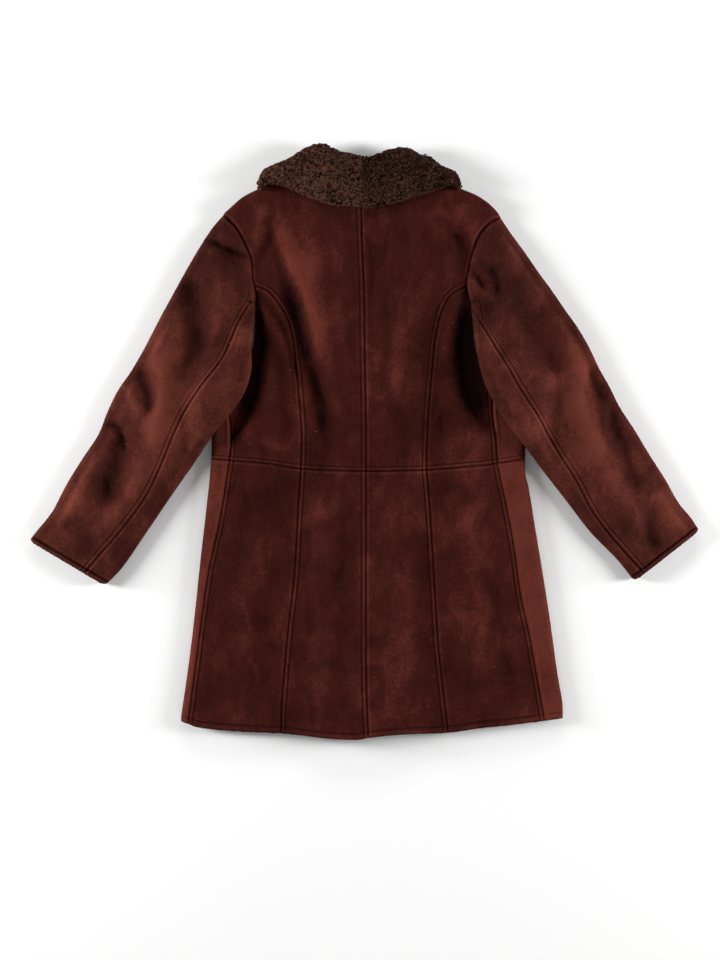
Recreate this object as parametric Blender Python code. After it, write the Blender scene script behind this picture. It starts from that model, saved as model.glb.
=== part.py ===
"""A three-quarter shearling coat laid face down: sheepskin panels, two-piece sleeves and a curly wool collar.

Frame: X to the viewer's right, Y towards the collar, Z up from the surface that the coat lies on.
The fronts lie on the surface, the back lies on the fronts, and each sleeve lies partly over the body's side.
Tables are in millimetres; the meshes are in metres.
"""

import bpy
import numpy as np

MM = 0.001
WALL = 10.0            # sheepskin: suede with its clipped wool
REST = 1.2             # air between two layers that lie on each other
SEAM = 0.4             # gap between two pieces at a seam
LAYER = WALL + REST
SIDE_RADIUS = (WALL + LAYER) / 2   # the body's rolled side edge
COLLAR = 12.0          # thickness of the collar
SLEEVE_FULL = 3.0      # how much fuller a sleeve is than two walls
SHOULDER_ROUND = 9.0   # how far a shoulder edge is rounded down
OVERLAP = 40.0         # how far each front passes the centre front
SHOULDER_Z = COLLAR + WALL + 1.5 * REST   # the parting line where the collar turns over a shoulder
STAND_GAP = 3.0        # between the collar's stand and the neck edge

SUEDE = (0.085, 0.022, 0.016)
WOOL = (0.075, 0.035, 0.024)

CENTRE_WAIST_Y = -46   # where the centre seam crosses the waist seam
NECK_Y = 411           # the neck seam at the centre back
FRONT_NECK_Y = 335     # the neck seam at the centre front
LEAF_END = 6           # how far from the middle each front leaf of the collar ends
LEAF_MARGIN = 38       # how much lower than the fronts the back begins to rise over the leaves
COLLAR_COLUMNS = 13
FALL_STEPS = (0.0, 0.1, 0.25, 0.5, 0.75, 1.0)       # the collar's rows over the back
STAND_STEPS = (0.0, 0.35, 0.65, 0.85, 0.96, 1.0)    # and past the neck seam
LEAF_STEPS = (0.0, 0.08, 0.35, 0.65, 1.0)           # a leaf's rows under the front
ROLL_STEPS = (0.0, 0.5, 0.85, 1.0)                  # and past the neck seam
SHOULDER_COLUMNS = 7   # of the collar's columns, those along the shoulder
CAP_POINTS = 60        # of the armhole's points, those of the sleeve cap
LEAST_LAP = 15.0       # the sleeve's back seam stays this far from the inner edge
LEAST_SHARE = 0.45     # and at least this share of the width from the outer one
HIDDEN_LAP = (16, 44)  # the under seam's distance from the inner edge: at its start, and how much it grows
LEAST_THICK = 1.0
UPPER_HOLE = 84        # of the points, those a sleeve hangs from

# ---- seams and outlines, rows of (x, y) -------------------------------------------------
CENTRE_BACK = ((-5, 411), (-4, 340), (0, 233), (1, 150), (3, 20), (3, -46), (3, -184), (3, -309),
               (4, -400), (7, -470))
WAIST = ((-246, -25), (-214, -28), (-154, -33), (-101, -41), (1, -45), (97, -43), (151, -39), (210, -33),
         (260, -25))
HEM = (
    (-292, -443), (-280, -447), (-261, -453), (-195, -459), (-132, -462), (-57, -469), (-10, -471), (7,
        -468),
    (56, -463), (133, -461), (182, -454), (229, -449), (286, -442), (317, -438),
)
NECK_FRONT = {"left": ((-98, 433), (-84, 385), (-50, 348), (-8, 335), (40, 335)),
              "right": ((98, 433), (84, 385), (50, 348), (8, 335), (-40, 335))}
NECK_BACK = {"left": ((-98, 433), (-70, 419), (-40, 412.5), (-5, 411)),
             "right": ((98, 433), (70, 419), (40, 412.5), (-5, 411))}
SHOULDER = {"left": ((-224, 364), (-211, 375), (-192, 391), (-166, 404), (-98, 433)),
            "right": ((218, 359), (209, 371), (183, 391), (152, 405), (98, 433))}
ARMHOLE = {  # shoulder tip, past the princess seam, down behind the sleeve to the top of the side seam
    "left": ((-224, 364), (-202, 342), (-186, 312), (-179, 294), (-177, 265), (-173.5, 247), (-172, 227),
             (-174, 190), (-177, 155), (-192, 128), (-222, 110)),
    "right": ((218, 359), (198, 349), (180, 327), (171, 298), (165, 272), (163, 250), (168, 227),
              (173, 190), (176, 155), (187, 125), (203, 108)),
}
ARMHOLE_TURN = {"left": (-241, 104),
                "right": (262, 100)}  # where the armhole turns under at the body's edge
PRINCESS_UPPER = {
    "left": ((-173.5, 250), (-155, 243), (-140, 228), (-125, 205), (-115, 177), (-109, 134), (-103, 75),
             (-99, 15),
             (-100, -41)),
    "right": ((163, 250), (139, 236), (125, 214), (114, 170), (108, 115), (103, 61), (100, 6), (99, -43)),
}
PRINCESS_SKIRT = {"left": ((-100, -41), (-104, -99), (-111, -215), (-120, -293), (-131, -419),
                           (-132, -462)),
                  "right": ((99, -43), (104, -99), (114, -262), (119, -334), (132, -447), (133, -461))}
SIDE_SEAM = {
    "left": ((-222, 110), (-215, 50), (-212, -9), (-214, -28), (-230, -127), (-246, -199), (-258, -278),
             (-265, -334), (-270, -372), (-280, -447)),
    "right": ((203, 108), (205, 53), (209, 10), (212, -33), (226, -99), (239, -171), (249, -243),
              (261, -297),
              (273, -363), (287, -442)),
}
BODY_EDGE = {
    "left": ((-241, 104), (-243, 40), (-243, -12), (-244, -36), (-252, -111), (-260, -180), (-267, -246),
             (-274, -309), (-283, -378), (-291, -432), (-292, -443)),
    "right": ((262, 100), (260, 40), (257, -13), (257, -49), (262, -69), (272, -130), (281, -184),
              (290, -240),
              (298, -293), (308, -366), (316, -413), (317, -438)),
}
SLEEVE_SEAM = {
    "left": ((-180, 225), (-197, 196), (-213, 157), (-228, 126), (-261, 84), (-286, 46), (-305, 6),
             (-323, -38),
             (-346, -84), (-369, -117), (-397, -152), (-423, -182), (-446, -209), (-452, -216)),
    "right": ((172, 214), (196, 170), (221, 130), (243, 90), (278, 35), (301, -5), (333, -54), (363, -109),
              (390, -145), (420, -179), (449, -212), (455, -218)),
}
# each row crosses a sleeve: outer edge x, y, then inner edge or armhole x, y
SLEEVE_ROWS = {
    "left": ((-226, 361, -208, 347), (-243, 341, -190, 319), (-266, 305, -179, 292), (-288, 267, -177, 262),
             (-306, 234, -173, 226), (-323, 203, -174, 196), (-341, 168, -175.5, 168), (-352, 147, -177.5,
                 150),
             (-372, 113, -178, 115), (-392, 84, -188, 81), (-409, 49, -208, 50), (-423, 14, -236, 16),
             (-448, -24, -265, -25), (-474, -66, -307, -85), (-496, -108, -345, -141), (-518, -136, -385,
                 -199),
             (-533, -155, -412, -227)),
    "right": ((220, 356, 202, 350), (237, 330, 184, 330), (256, 304, 173, 302), (278, 272, 166, 272),
              (300, 242, 168.5, 226), (322, 210, 172, 197), (343, 180, 174.5, 170), (360, 150, 176.5, 150),
              (374, 120, 184, 115), (391, 90, 194, 86), (407, 58, 212, 52), (431, 21, 239, 13),
              (452, -14, 270, -26), (480, -58, 317, -86), (501, -95, 361, -143), (520, -118, 403, -186),
              (534, -139, 430, -220)),
}
SEAM_START_ROW = 4     # the sleeve row where its two pieces part
COLLAR_EDGE = ((-167, 407), (-144, 410), (-123, 406), (-108, 399), (-83, 388), (-61, 380), (-43, 376),
               (-5, 373),
               (8, 372), (31, 376), (55, 382), (86, 392), (115, 401), (140, 409), (152, 406))
COLLAR_TOP = {
    "left": ((-167, 411), (-157, 432), (-119, 449), (-92, 466), (-67, 472), (-45, 463), (-21, 458),
             (-5, 454)),
    "right": ((152, 410), (144, 428), (131, 434), (98, 448), (74, 464), (57, 466), (42, 464), (20, 457),
              (-5, 453)),
}
LEAF_EDGE = {"left": ((-167, 406), (-140, 372), (-105, 330), (-65, 290), (-30, 268), (-6, 262)),
             "right": ((152, 405), (135, 372), (105, 330), (65, 290), (30, 268), (6, 262))}
LEAF_ROLL = {"left": ((-167, 411), (-157, 432), (-119, 449), (-92, 460), (-68, 410), (-38, 374), (-6, 362)),
             "right": ((152, 410), (144, 428), (131, 434), (92, 456), (68, 410), (38, 374), (6, 362))}

PRINCESS_ROWS = 9     # rows of the panels that meet at an upper princess seam
SKIRT_ROWS = 8
ROLL_POINTS = 6        # round the body's side edge
FRONT_COLUMNS = 12     # across a front, on the surface
CLIMB = {"left": (-92, -79, -67, -54, -45, OVERLAP), "right": (-OVERLAP,)}   # a front's last columns
LEAF_GAP = 12.0        # between the collar's front leaf and the neck edge of the front

# the largest folds on the back: path (x, y), half width, height
FOLDS = (
    (((-133, 345), (-111, 294), (-86, 251), (-71, 178), (-68, 130)), 20, 5.5),
    (((-168, 236), (-138, 180), (-112, 125)), 11, 4.0),
    (((149, 226), (131, 173), (127, 122)), 13, 4.0),
)


# ---- curves -----------------------------------------------------------------------------
def smooth(points, per_span=12):
    """A curve through the points, as a dense polyline."""
    p = np.array(points, float)
    p = np.vstack([2 * p[0] - p[1], p, 2 * p[-1] - p[-2]])
    step = np.linspace(0, 1, per_span, endpoint=False)[:, None]
    out = []
    for a, b, c, d in zip(p, p[1:], p[2:], p[3:]):
        slope_b = (c - a) * np.linalg.norm(c - b) / (np.linalg.norm(c - b) + np.linalg.norm(b - a) + 1e-9)
        slope_c = (d - b) * np.linalg.norm(c - b) / (np.linalg.norm(c - b) + np.linalg.norm(d - c) + 1e-9)
        s2, s3 = step**2, step**3
        out.append((2 * s3 - 3 * s2 + 1) * b + (s3 - 2 * s2 + step) * slope_b
                   + (3 * s2 - 2 * s3) * c + (s3 - s2) * slope_c)
    return np.vstack(out + [p[-2][None]])


def lengths(line):
    return np.concatenate([[0], np.cumsum(np.linalg.norm(np.diff(line, axis=0), axis=1))])


def along(line, shares):
    """Points at these shares of a polyline's length."""
    run = lengths(line)
    at = np.asarray(shares) * run[-1]
    return np.column_stack([np.interp(at, run, line[:, 0]), np.interp(at, run, line[:, 1])])


def by_height(line, ys):
    """Points of an upright polyline at these heights."""
    order = np.argsort(line[:, 1])
    ys = np.asarray(ys, float)
    return np.column_stack([np.interp(ys, line[order, 1], line[order, 0]), ys])


def at_x(line, x):
    order = np.argsort(line[:, 0])
    return np.interp(x, line[order, 0], line[order, 1])


def share_of(line, point):
    """The share of a polyline's length at its nearest vertex to a point."""
    near = np.argmin(np.linalg.norm(line - np.array(point, float), axis=1))
    return lengths(line)[near] / lengths(line)[-1]


def part_of(line, start, end, count):
    """Even points from share start to share end of a polyline."""
    return along(line, np.linspace(start, end, count))


def distance(line, x, y):
    """Distance from each point to a polyline."""
    best = np.full(np.shape(x), 1e9)
    for (ax, ay), (bx, by) in zip(line, line[1:]):
        dx, dy = bx - ax, by - ay
        t = np.clip(((x - ax) * dx + (y - ay) * dy) / (dx * dx + dy * dy + 1e-12), 0, 1)
        best = np.minimum(best, np.hypot(x - ax - t * dx, y - ay - t * dy))
    return best


def inside(outline, x, y):
    """Which points lie inside a closed outline."""
    found = np.zeros(np.shape(x), bool)
    for (ax, ay), (bx, by) in zip(outline, np.roll(outline, -1, axis=0)):
        crosses = (ay > y) != (by > y)
        found ^= crosses & (x < (bx - ax) * (y - ay) / (by - ay + 1e-12) + ax)
    return found


def ease(t):
    t = np.clip(t, 0, 1)
    return t * t * (3 - 2 * t)


SIDES = ("left", "right")
SIGN = {"left": -1, "right": 1}
LINE = {
    "centre": smooth(CENTRE_BACK),
    "waist": smooth(WAIST),
    "hem": smooth(HEM),
    "collar_edge": smooth(COLLAR_EDGE),
    **{(name, side): smooth(table[side]) for side in SIDES for name, table in (
        ("neck_front", NECK_FRONT), ("neck_back", NECK_BACK), ("shoulder", SHOULDER), ("armhole", ARMHOLE),
        ("princess_upper", PRINCESS_UPPER), ("princess_skirt", PRINCESS_SKIRT), ("side", SIDE_SEAM),
        ("edge", BODY_EDGE), ("sleeve_seam", SLEEVE_SEAM), ("collar_top", COLLAR_TOP), ("leaf_edge",
            LEAF_EDGE),
        ("leaf_roll", LEAF_ROLL))},
}
for side in SIDES:
    turn = np.array([ARMHOLE_TURN[side]], float)
    LINE["hidden_edge",
         side] = np.vstack([LINE["armhole", side][CAP_POINTS:], turn, LINE["edge", side][1:]])
    LINE["body",
         side] = np.vstack([LINE["armhole", side], turn, LINE["edge", side][1:], [[0, -460], [0, 400]]])


# ---- heights ----------------------------------------------------------------------------
def leaf_lift(x, y, margin=0.0):
    """How far the collar's front leaves lift what lies on them; a margin starts the rise that much lower."""
    edge = np.where(x < 0, at_x(LINE["leaf_edge", "left"], x), at_x(LINE["leaf_edge", "right"], x))
    beyond = np.maximum(np.maximum(-167 - x, x - 152), 0)
    return (COLLAR + REST) * ease((y - edge - beyond + 90 + margin) / 65)


def front_bottom(side, x, y):
    """Underside of a front: the left one climbs onto the right one at the centre front."""
    climb = (LAYER + 1) * ease((x + 87) / 38) if side == "left" else 0.0
    return leaf_lift(x, y) + climb


def fold(x, y):
    """The height of the folds, each a soft ridge along its path that fades at both ends."""
    total = 0.0
    for path, half_width, height in FOLDS:
        line = smooth(path)
        middle = line[len(line) // 2]
        reach = lengths(line)[-1] / 2
        fade = ease(1.5 - np.hypot(x - middle[0], y - middle[1]) / reach * 1.2)
        total = total + height * fade * np.exp(-(distance(line, x, y) / half_width) ** 2)
    return total


def neck_sag(x, y):
    """1 where the back sags to the surface inside the neck opening."""
    return ease((y - 385) / 50) * ease(1 - (np.abs(x) - 22) / 45)


def back_bottom(x, y):
    over_fronts = (LAYER + 1) * ease(1 - (np.abs(x) - 50) / 60) * (1 - ease((y - 350) / 50))
    rest = leaf_lift(x, y, LEAF_MARGIN) + LAYER + over_fronts
    return rest * (1 - neck_sag(x, y)) + fold(x, y)


def back_top(x, y):
    return back_bottom(x, y) + WALL


def inside_shoulder(side, x, y):
    """0 at the shoulder's edge, 1 where its rounding ends."""
    b = np.clip(distance(LINE["shoulder", side], x, y) / 10.0, 0, 1)
    return np.sqrt(np.maximum(1 - (1 - b) ** 2, 0))


def sleeve_bottom(side, x, y):
    """Underside of a sleeve: on the surface, then up over the body's side below the armhole."""
    d = distance(LINE["hidden_edge", side], x, y) * np.where(inside(LINE["body", side], x, y), 1, -1)
    reach = ease((227 - y) / 72)
    return (2 * LAYER + 1.8) * reach * ease((d + 46) / 42)


def sleeve_height(side, x, y):
    return 2 * WALL + REST + SLEEVE_FULL * ease((distance(LINE["armhole", side][:UPPER_HOLE], x, y) - 4) / 50)


# ---- meshes -----------------------------------------------------------------------------
def material(name, colour, roughness):
    made = bpy.data.materials.new(name)
    made.use_nodes = True
    shader = made.node_tree.nodes["Principled BSDF"]
    shader.inputs["Base Color"].default_value = (*colour, 1)
    shader.inputs["Roughness"].default_value = roughness
    shader.inputs["Metallic"].default_value = 0.0
    return made


def shell(name, outer, inner, colour, keep=None):
    """One closed object between two grids of points, over the cells that keep says."""
    rows, columns = outer.shape[:2]
    keep = np.ones((rows - 1, columns - 1), bool) if keep is None else keep
    count = rows * columns
    points = np.concatenate([outer.reshape(-1, 3), inner.reshape(-1, 3)]) * MM
    faces = []
    edges = {}
    for i, j in np.argwhere(keep):
        a, b = i * columns + j, i * columns + j + 1
        c, d = b + columns, a + columns
        faces += [(a, b, c, d), (a + count, d + count, c + count, b + count)]
        for e in ((a, b), (b, c), (c, d), (d, a)):
            edges[e] = edges.get(e, 0) + 1
    for a, b in edges:
        if (b, a) not in edges:
            faces.append((b, a, a + count, b + count))
    used = sorted({v for f in faces for v in f})
    index = {v: i for i, v in enumerate(used)}
    mesh = bpy.data.meshes.new(name)
    mesh.from_pydata([tuple(points[v]) for v in used], [], [tuple(index[v] for v in f) for f in faces])
    mesh.update()
    volume = 0.0
    mesh.calc_loop_triangles()
    for t in mesh.loop_triangles:
        a, b, c = (mesh.vertices[v].co for v in t.vertices)
        volume += a.dot(b.cross(c))
    if volume < 0:
        mesh.flip_normals()
    mesh.shade_smooth()
    mesh.set_sharp_from_angle(angle=np.radians(50))
    mesh.materials.append(material(name + "_finish", colour, 0.9))
    made = bpy.data.objects.new(name, mesh)
    bpy.context.collection.objects.link(made)
    return made


def slab(name, plan, top, bottom, colour, keep=None):
    """A panel that lies flat: its plan grid between a top and a bottom height."""
    x, y = plan[..., 0], plan[..., 1]
    upper = np.dstack([x, y, np.maximum(top, bottom + LEAST_THICK)])
    return shell(name, upper, np.dstack([x, y, bottom]), colour, keep)


def patch(bottom, top, left, right, fade=1.0):
    """A plan grid between four edges: bottom and top run left to right, left and right run upwards.

    The higher fade is, the sooner the left edge's own curve dies out across the grid.
    """
    u = lengths(bottom) / lengths(bottom)[-1]
    w = lengths(top) / lengths(top)[-1]
    run_left = lengths(left) / lengths(left)[-1]
    run_right = lengths(right) / lengths(right)[-1]
    grid = np.zeros((len(left), len(bottom), 2))
    for i in range(len(left)):
        v = (run_left[i] + run_right[i]) / 2
        across = 1 - (1 - ((1 - v) * u + v * w)[:, None]) ** fade
        sides = (1 - across) * left[i] + across * right[i]
        ends = (1 - v) * bottom + v * top
        corners = ((1 - v) * ((1 - across) * bottom[0] + across * bottom[-1])
                   + v * ((1 - across) * top[0] + across * top[-1]))
        grid[i] = sides + ends - corners
    return grid


def inset(grid):
    """The plan grid pulled in by half a seam gap on every side."""
    grid = grid.copy()
    edges = ((grid[0], grid[1]), (grid[-1], grid[-2]), (grid[:, 0], grid[:, 1]), (grid[:, -1], grid[:, -2]))
    for edge, neighbour in edges:
        way = neighbour - edge
        edge += way / (np.linalg.norm(way, axis=1)[:, None] + 1e-9) * SEAM / 2
    return grid


def between(line, x0, x1, count):
    """Points of a level line from x0 to x1."""
    x = np.linspace(x0, x1, count)
    return np.column_stack([x, at_x(line, x)])


# ---- pieces -----------------------------------------------------------------------------
def back_upper(side):
    armhole, princess = LINE["armhole", side], LINE["princess_upper", side]
    meet = share_of(armhole, princess[0])
    left = np.vstack([part_of(princess, 1, 0, PRINCESS_ROWS),
                      along(armhole, meet * (1 - np.array([0.25, 0.5, 0.75, 0.9, 0.96, 1.0])))])
    levels = (left[:, 1] - left[0, 1]) / (left[-1, 1] - left[0, 1])
    shoulder, neck = LINE["shoulder", side], LINE["neck_back", side]
    top = np.vstack([part_of(shoulder, 0, 1, 5), part_of(neck, 0, 1, 4)[1:]])
    foot = princess[-1]
    bottom = between(LINE["waist"], foot[0], by_height(LINE["centre"], [CENTRE_WAIST_Y])[0, 0], 8)
    heights = bottom[-1, 1] + levels * (NECK_Y - bottom[-1, 1])
    plan = inset(patch(bottom, top, left, by_height(LINE["centre"], heights)))
    x, y = plan[..., 0], plan[..., 1]
    low = back_bottom(x, y)
    high = low + WALL - SHOULDER_ROUND * (1 - inside_shoulder(side, x, y))
    slab(f"back_upper_{side}", plan, high, low, SUEDE)


def side_back_upper(side):
    princess, armhole = LINE["princess_upper", side], LINE["armhole", side]
    start = share_of(armhole, princess[0])
    top = part_of(armhole, 1, start, 9)
    left = by_height(LINE["side", side],
                     np.linspace(at_x(LINE["waist"], SIDE_SEAM[side][3][0]), top[0, 1], PRINCESS_ROWS))
    right = part_of(princess, 1, 0, PRINCESS_ROWS)
    bottom = between(LINE["waist"], left[0, 0], right[0, 0], 9)
    plan = inset(patch(bottom, top, left, right))
    low = back_bottom(plan[..., 0], plan[..., 1])
    slab(f"side_back_upper_{side}", plan, low + WALL, low, SUEDE)


def skirt_back(name, left_line, right_line, columns):
    """A back skirt panel between two seams."""
    edges = []
    for line in (left_line, right_line):
        top_y, foot_y = -24.0, -440.0
        for _ in range(4):
            top_y = at_x(LINE["waist"], by_height(line, [top_y])[0, 0])
            foot_y = at_x(LINE["hem"], by_height(line, [foot_y])[0, 0])
        edges.append(by_height(line, np.linspace(foot_y, top_y, SKIRT_ROWS)))
    bottom = between(LINE["hem"], edges[0][0, 0], edges[1][0, 0], columns)
    top = between(LINE["waist"], edges[0][-1, 0], edges[1][-1, 0], columns)
    plan = inset(patch(bottom, top, *edges))
    low = back_bottom(plan[..., 0], plan[..., 1])
    slab(name, plan, low + WALL, low, SUEDE)


def round_edge(edge_x, sign, count):
    """A body edge's roll, top to bottom, as outer and inner (x, z) rows."""
    turn = np.linspace(0, np.pi, count)
    inner = SIDE_RADIUS - WALL
    centre = edge_x - sign * SIDE_RADIUS
    return [(centre + sign * r * np.sin(turn), SIDE_RADIUS + r * np.cos(turn)) for r in (SIDE_RADIUS,
        inner)]


def under_columns(side, start):
    """Where a front's columns lie on the surface, from its rolled edge to the centre front."""
    free = FRONT_COLUMNS - len(CLIMB[side])
    return np.concatenate([np.linspace(start, CLIMB[side][0], free + 1)[:-1], CLIMB[side]])


def front(side, ys_of, steps, keep_rows=None, upper_plan=None):
    """A front: from the side seam on the back, round the body's edge, to the centre front underneath.

    ys_of gives each column's height from its x and its share v of the piece's length.
    """
    sign = SIGN[side]
    outer, inner = [], []
    for i, v in enumerate(steps):
        guess = ys_of(0.0, v)
        for _ in range(4):
            edge_x = by_height(LINE["edge", side], [guess])[0, 0]
            guess = ys_of(edge_x, v)
        seam_x = by_height(LINE["side", side], [ys_of(by_height(LINE["side", side], [guess])[0, 0], v)])[0,
            0]
        seam_x += sign * SEAM / 2
        (ox, oz), (ix, iz) = round_edge(edge_x, sign, ROLL_POINTS)
        top = np.linspace(seam_x, ox[0], 3)[:-1]
        if upper_plan is None:
            under = under_columns(side, ox[-1])
            under_y = np.array([ys_of(x, v) for x in under])
        else:
            under, under_y = upper_plan[i, :, 0], upper_plan[i, :, 1]
        under_z = front_bottom(side, under, under_y)
        x_out = np.concatenate([top, ox[:-1], under])
        x_in = np.concatenate([top, ix[:-1], under])
        y = np.concatenate([[ys_of(x, v) for x in x_out[: len(top) + ROLL_POINTS - 1]], under_y])
        z_out = np.concatenate([np.full(len(top), LAYER + WALL), oz[:-1], under_z])
        z_in = np.concatenate([np.full(len(top), LAYER), iz[:-1], under_z + WALL])
        outer.append(np.column_stack([x_out, y, z_out]))
        inner.append(np.column_stack([x_in, y, z_in]))
    outer, inner = np.array(outer), np.array(inner)
    keep = np.ones((outer.shape[0] - 1, outer.shape[1] - 1), bool)
    if keep_rows is not None:
        keep[keep_rows:, : ROLL_POINTS + 1] = False
    return outer, inner, keep


def front_skirt(side):
    def height(x, v):
        y_top = at_x(LINE["waist"], x) - SEAM / 2
        return y_top + (at_x(LINE["hem"], x) - y_top) * v

    outer, inner, keep = front(side, height, np.linspace(0, 1, SKIRT_ROWS))
    shell(f"front_skirt_{side}", outer, inner, SUEDE, keep)


def front_upper(side):
    """The bodice front: its lower rows roll round the edge, and its upper rows stop at the armhole."""
    sign = SIGN[side]
    low_rows, high_rows = 6, 12
    waist = LINE["waist"]
    turn_y = ARMHOLE_TURN[side][1]
    edge_x = by_height(LINE["edge", side],
                       np.linspace(at_x(waist, BODY_EDGE[side][2][0]), turn_y, low_rows))
    roll_start = edge_x - np.array([sign * SIDE_RADIUS, 0])
    roll_start[0, 1] = at_x(waist, roll_start[0, 0]) + SEAM / 2
    armhole = LINE["armhole", side][::-1]
    climb = np.vstack([roll_start[-1][None], armhole])
    outer_line = np.vstack([roll_start, part_of(climb, 0, 1, high_rows)[1:]])
    share = (outer_line[:, 1] - outer_line[0, 1]) / (outer_line[-1, 1] - outer_line[0, 1])
    neck = LINE["neck_front", side]
    beside_leaf = share_of(neck, (sign * LEAF_END, FRONT_NECK_Y))
    top = np.vstack([part_of(LINE["shoulder", side], 0, 1, 5), part_of(neck, 0, beside_leaf, 7)[1:],
                     neck[-1:]])
    foot = at_x(waist, -sign * OVERLAP) + SEAM / 2
    centre = np.column_stack([np.full(len(share), -sign * OVERLAP), foot + share * (top[-1, 1] - foot)])
    columns = under_columns(side, roll_start[0, 0])
    bottom = np.column_stack([columns, at_x(waist, columns) + SEAM / 2])
    plan = patch(bottom, top, outer_line, centre, 2.5)
    trimmed = inset(plan)
    trimmed[:low_rows, 0] = plan[:low_rows, 0]
    steps = np.linspace(0, 1, low_rows)

    def height(x, v):
        y0 = at_x(waist, x) + SEAM / 2
        y1 = turn_y if sign * x > sign * SIDE_SEAM[side][0][0] + 6 else SIDE_SEAM[side][0][1]
        return y0 + (y1 - SEAM - y0) * v

    rows = list(steps) + [1.0] * (len(share) - low_rows)
    outer, inner, keep = front(side, height, rows, low_rows - 1, trimmed)
    x, y = trimmed[..., 0], trimmed[..., 1]
    lifted = front_bottom(side, x, y) + (SHOULDER_ROUND - 0.5) * (1 - inside_shoulder(side, x, y))
    first = outer.shape[1] - trimmed.shape[1]
    outer[:, first:, 2] = lifted
    inner[:, first:, 2] = np.maximum(front_bottom(side, x, y) + WALL, lifted + LEAST_THICK)
    shell(f"front_upper_{side}", outer, inner, SUEDE, keep)


def crossing(a, b, line):
    """The share of the way from a to b where a line crosses."""
    way = b - a
    for p, q in zip(line, line[1:]):
        step = q - p
        det = way[0] * step[1] - way[1] * step[0]
        if abs(det) < 1e-9:
            continue
        t = ((p[0] - a[0]) * step[1] - (p[1] - a[1]) * step[0]) / det
        s = ((p[0] - a[0]) * way[1] - (p[1] - a[1]) * way[0]) / det
        if -0.02 <= s <= 1.02 and 0 <= t <= 1:
            return t
    return None


def sleeve_section(side, row, back_share, front_share, piece):
    """Outer and inner points of one piece of the sleeve on one row, from the back seam to the hidden seam."""
    a, b = np.array(row[:2], float), np.array(row[2:], float)
    width = np.linalg.norm(b - a) - 5 * SEAM
    way = (b - a) / np.linalg.norm(b - a)

    def height(w):
        p = a[:, None] + way[:, None] * w
        return sleeve_bottom(side, p[0], p[1]), sleeve_height(side, p[0], p[1])

    back, hidden = back_share * width, front_share * width
    if piece == "top":
        radius = height(np.array([0.0]))[1][0] / 2
        sign, centre = 1, radius
        arms = [np.array([width, back]), np.linspace(back, radius, 5)]
        ends = [radius + (hidden - radius) * np.array([0, 0.55, 0.8, 0.9, 1]), np.array([hidden, width])]
    else:
        radius = height(np.array([width - 12.0]))[1][0] / 2
        sign, centre = -1, width - radius
        arms = [np.linspace(back, centre, 4)]
        ends = [np.linspace(centre, hidden, 4)]
    turn = np.linspace(0, np.pi, 5)[1:-1]
    base = height(np.array([centre]))[0][0]
    outer, inner = [], []
    for w in np.concatenate([x if k == 0 else x[1:] for k, x in enumerate(arms)]):
        z, tall = height(np.array([w]))
        outer.append((w, z[0] + tall[0]))
        inner.append((w, z[0] + tall[0] - WALL))
    for angle in turn:
        for r, into in ((radius, outer), (radius - WALL, inner)):
            into.append((centre - sign * r * np.sin(angle), base + radius + r * np.cos(angle)))
    for w in np.concatenate([x if k == 0 else x[1:] for k, x in enumerate(ends)]):
        z, tall = height(np.array([w]))
        outer.append((w, z[0]))
        inner.append((w, z[0] + WALL))
    return [np.array([(*(a + way * w), z) for w, z in pairs]) for pairs in (outer, inner)]


def sleeve(side):
    seam = LINE["sleeve_seam", side]
    table = np.array(SLEEVE_ROWS[side], float)
    start = SEAM_START_ROW
    rows, shares = [], []
    for row in table:
        width = np.linalg.norm(row[2:] - row[:2])
        least = 1 - LEAST_LAP / width
        found = crossing(row[:2], row[2:], seam)
        rows.append(row)
        shares.append(least if found is None else min(found, least))
    for piece, first in (("top", 0), ("under", start)):
        outer, inner = [], []
        for k, row in enumerate(rows):
            if k < first:
                continue
            width = np.linalg.norm(row[2:] - row[:2])
            half_gap = SEAM / width
            hidden = 1 - (HIDDEN_LAP[0] + HIDDEN_LAP[1] * ease((k - start) / 5)) / width
            trim = -half_gap if piece == "top" else half_gap
            if k < start:
                hidden = max(hidden, 0.5)
            out, inn = sleeve_section(side, row, max(shares[k], LEAST_SHARE) + trim,
                                      max(hidden, LEAST_SHARE) + 3 * trim, piece)
            outer.append(out)
            inner.append(inn)
        outer, inner = np.array(outer), np.array(inner)
        keep = np.ones((outer.shape[0] - 1, outer.shape[1] - 1), bool)
        if piece == "top":
            keep[start:, 0] = False
            keep[start:, -1] = False
        else:
            way = outer[1] - outer[0]
            shift = way / np.linalg.norm(way, axis=1)[:, None] * SEAM
            inner[0] += shift
            outer[0] += shift
        shell(f"sleeve_{piece}_{side}", outer, inner, SUEDE, keep)


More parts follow.
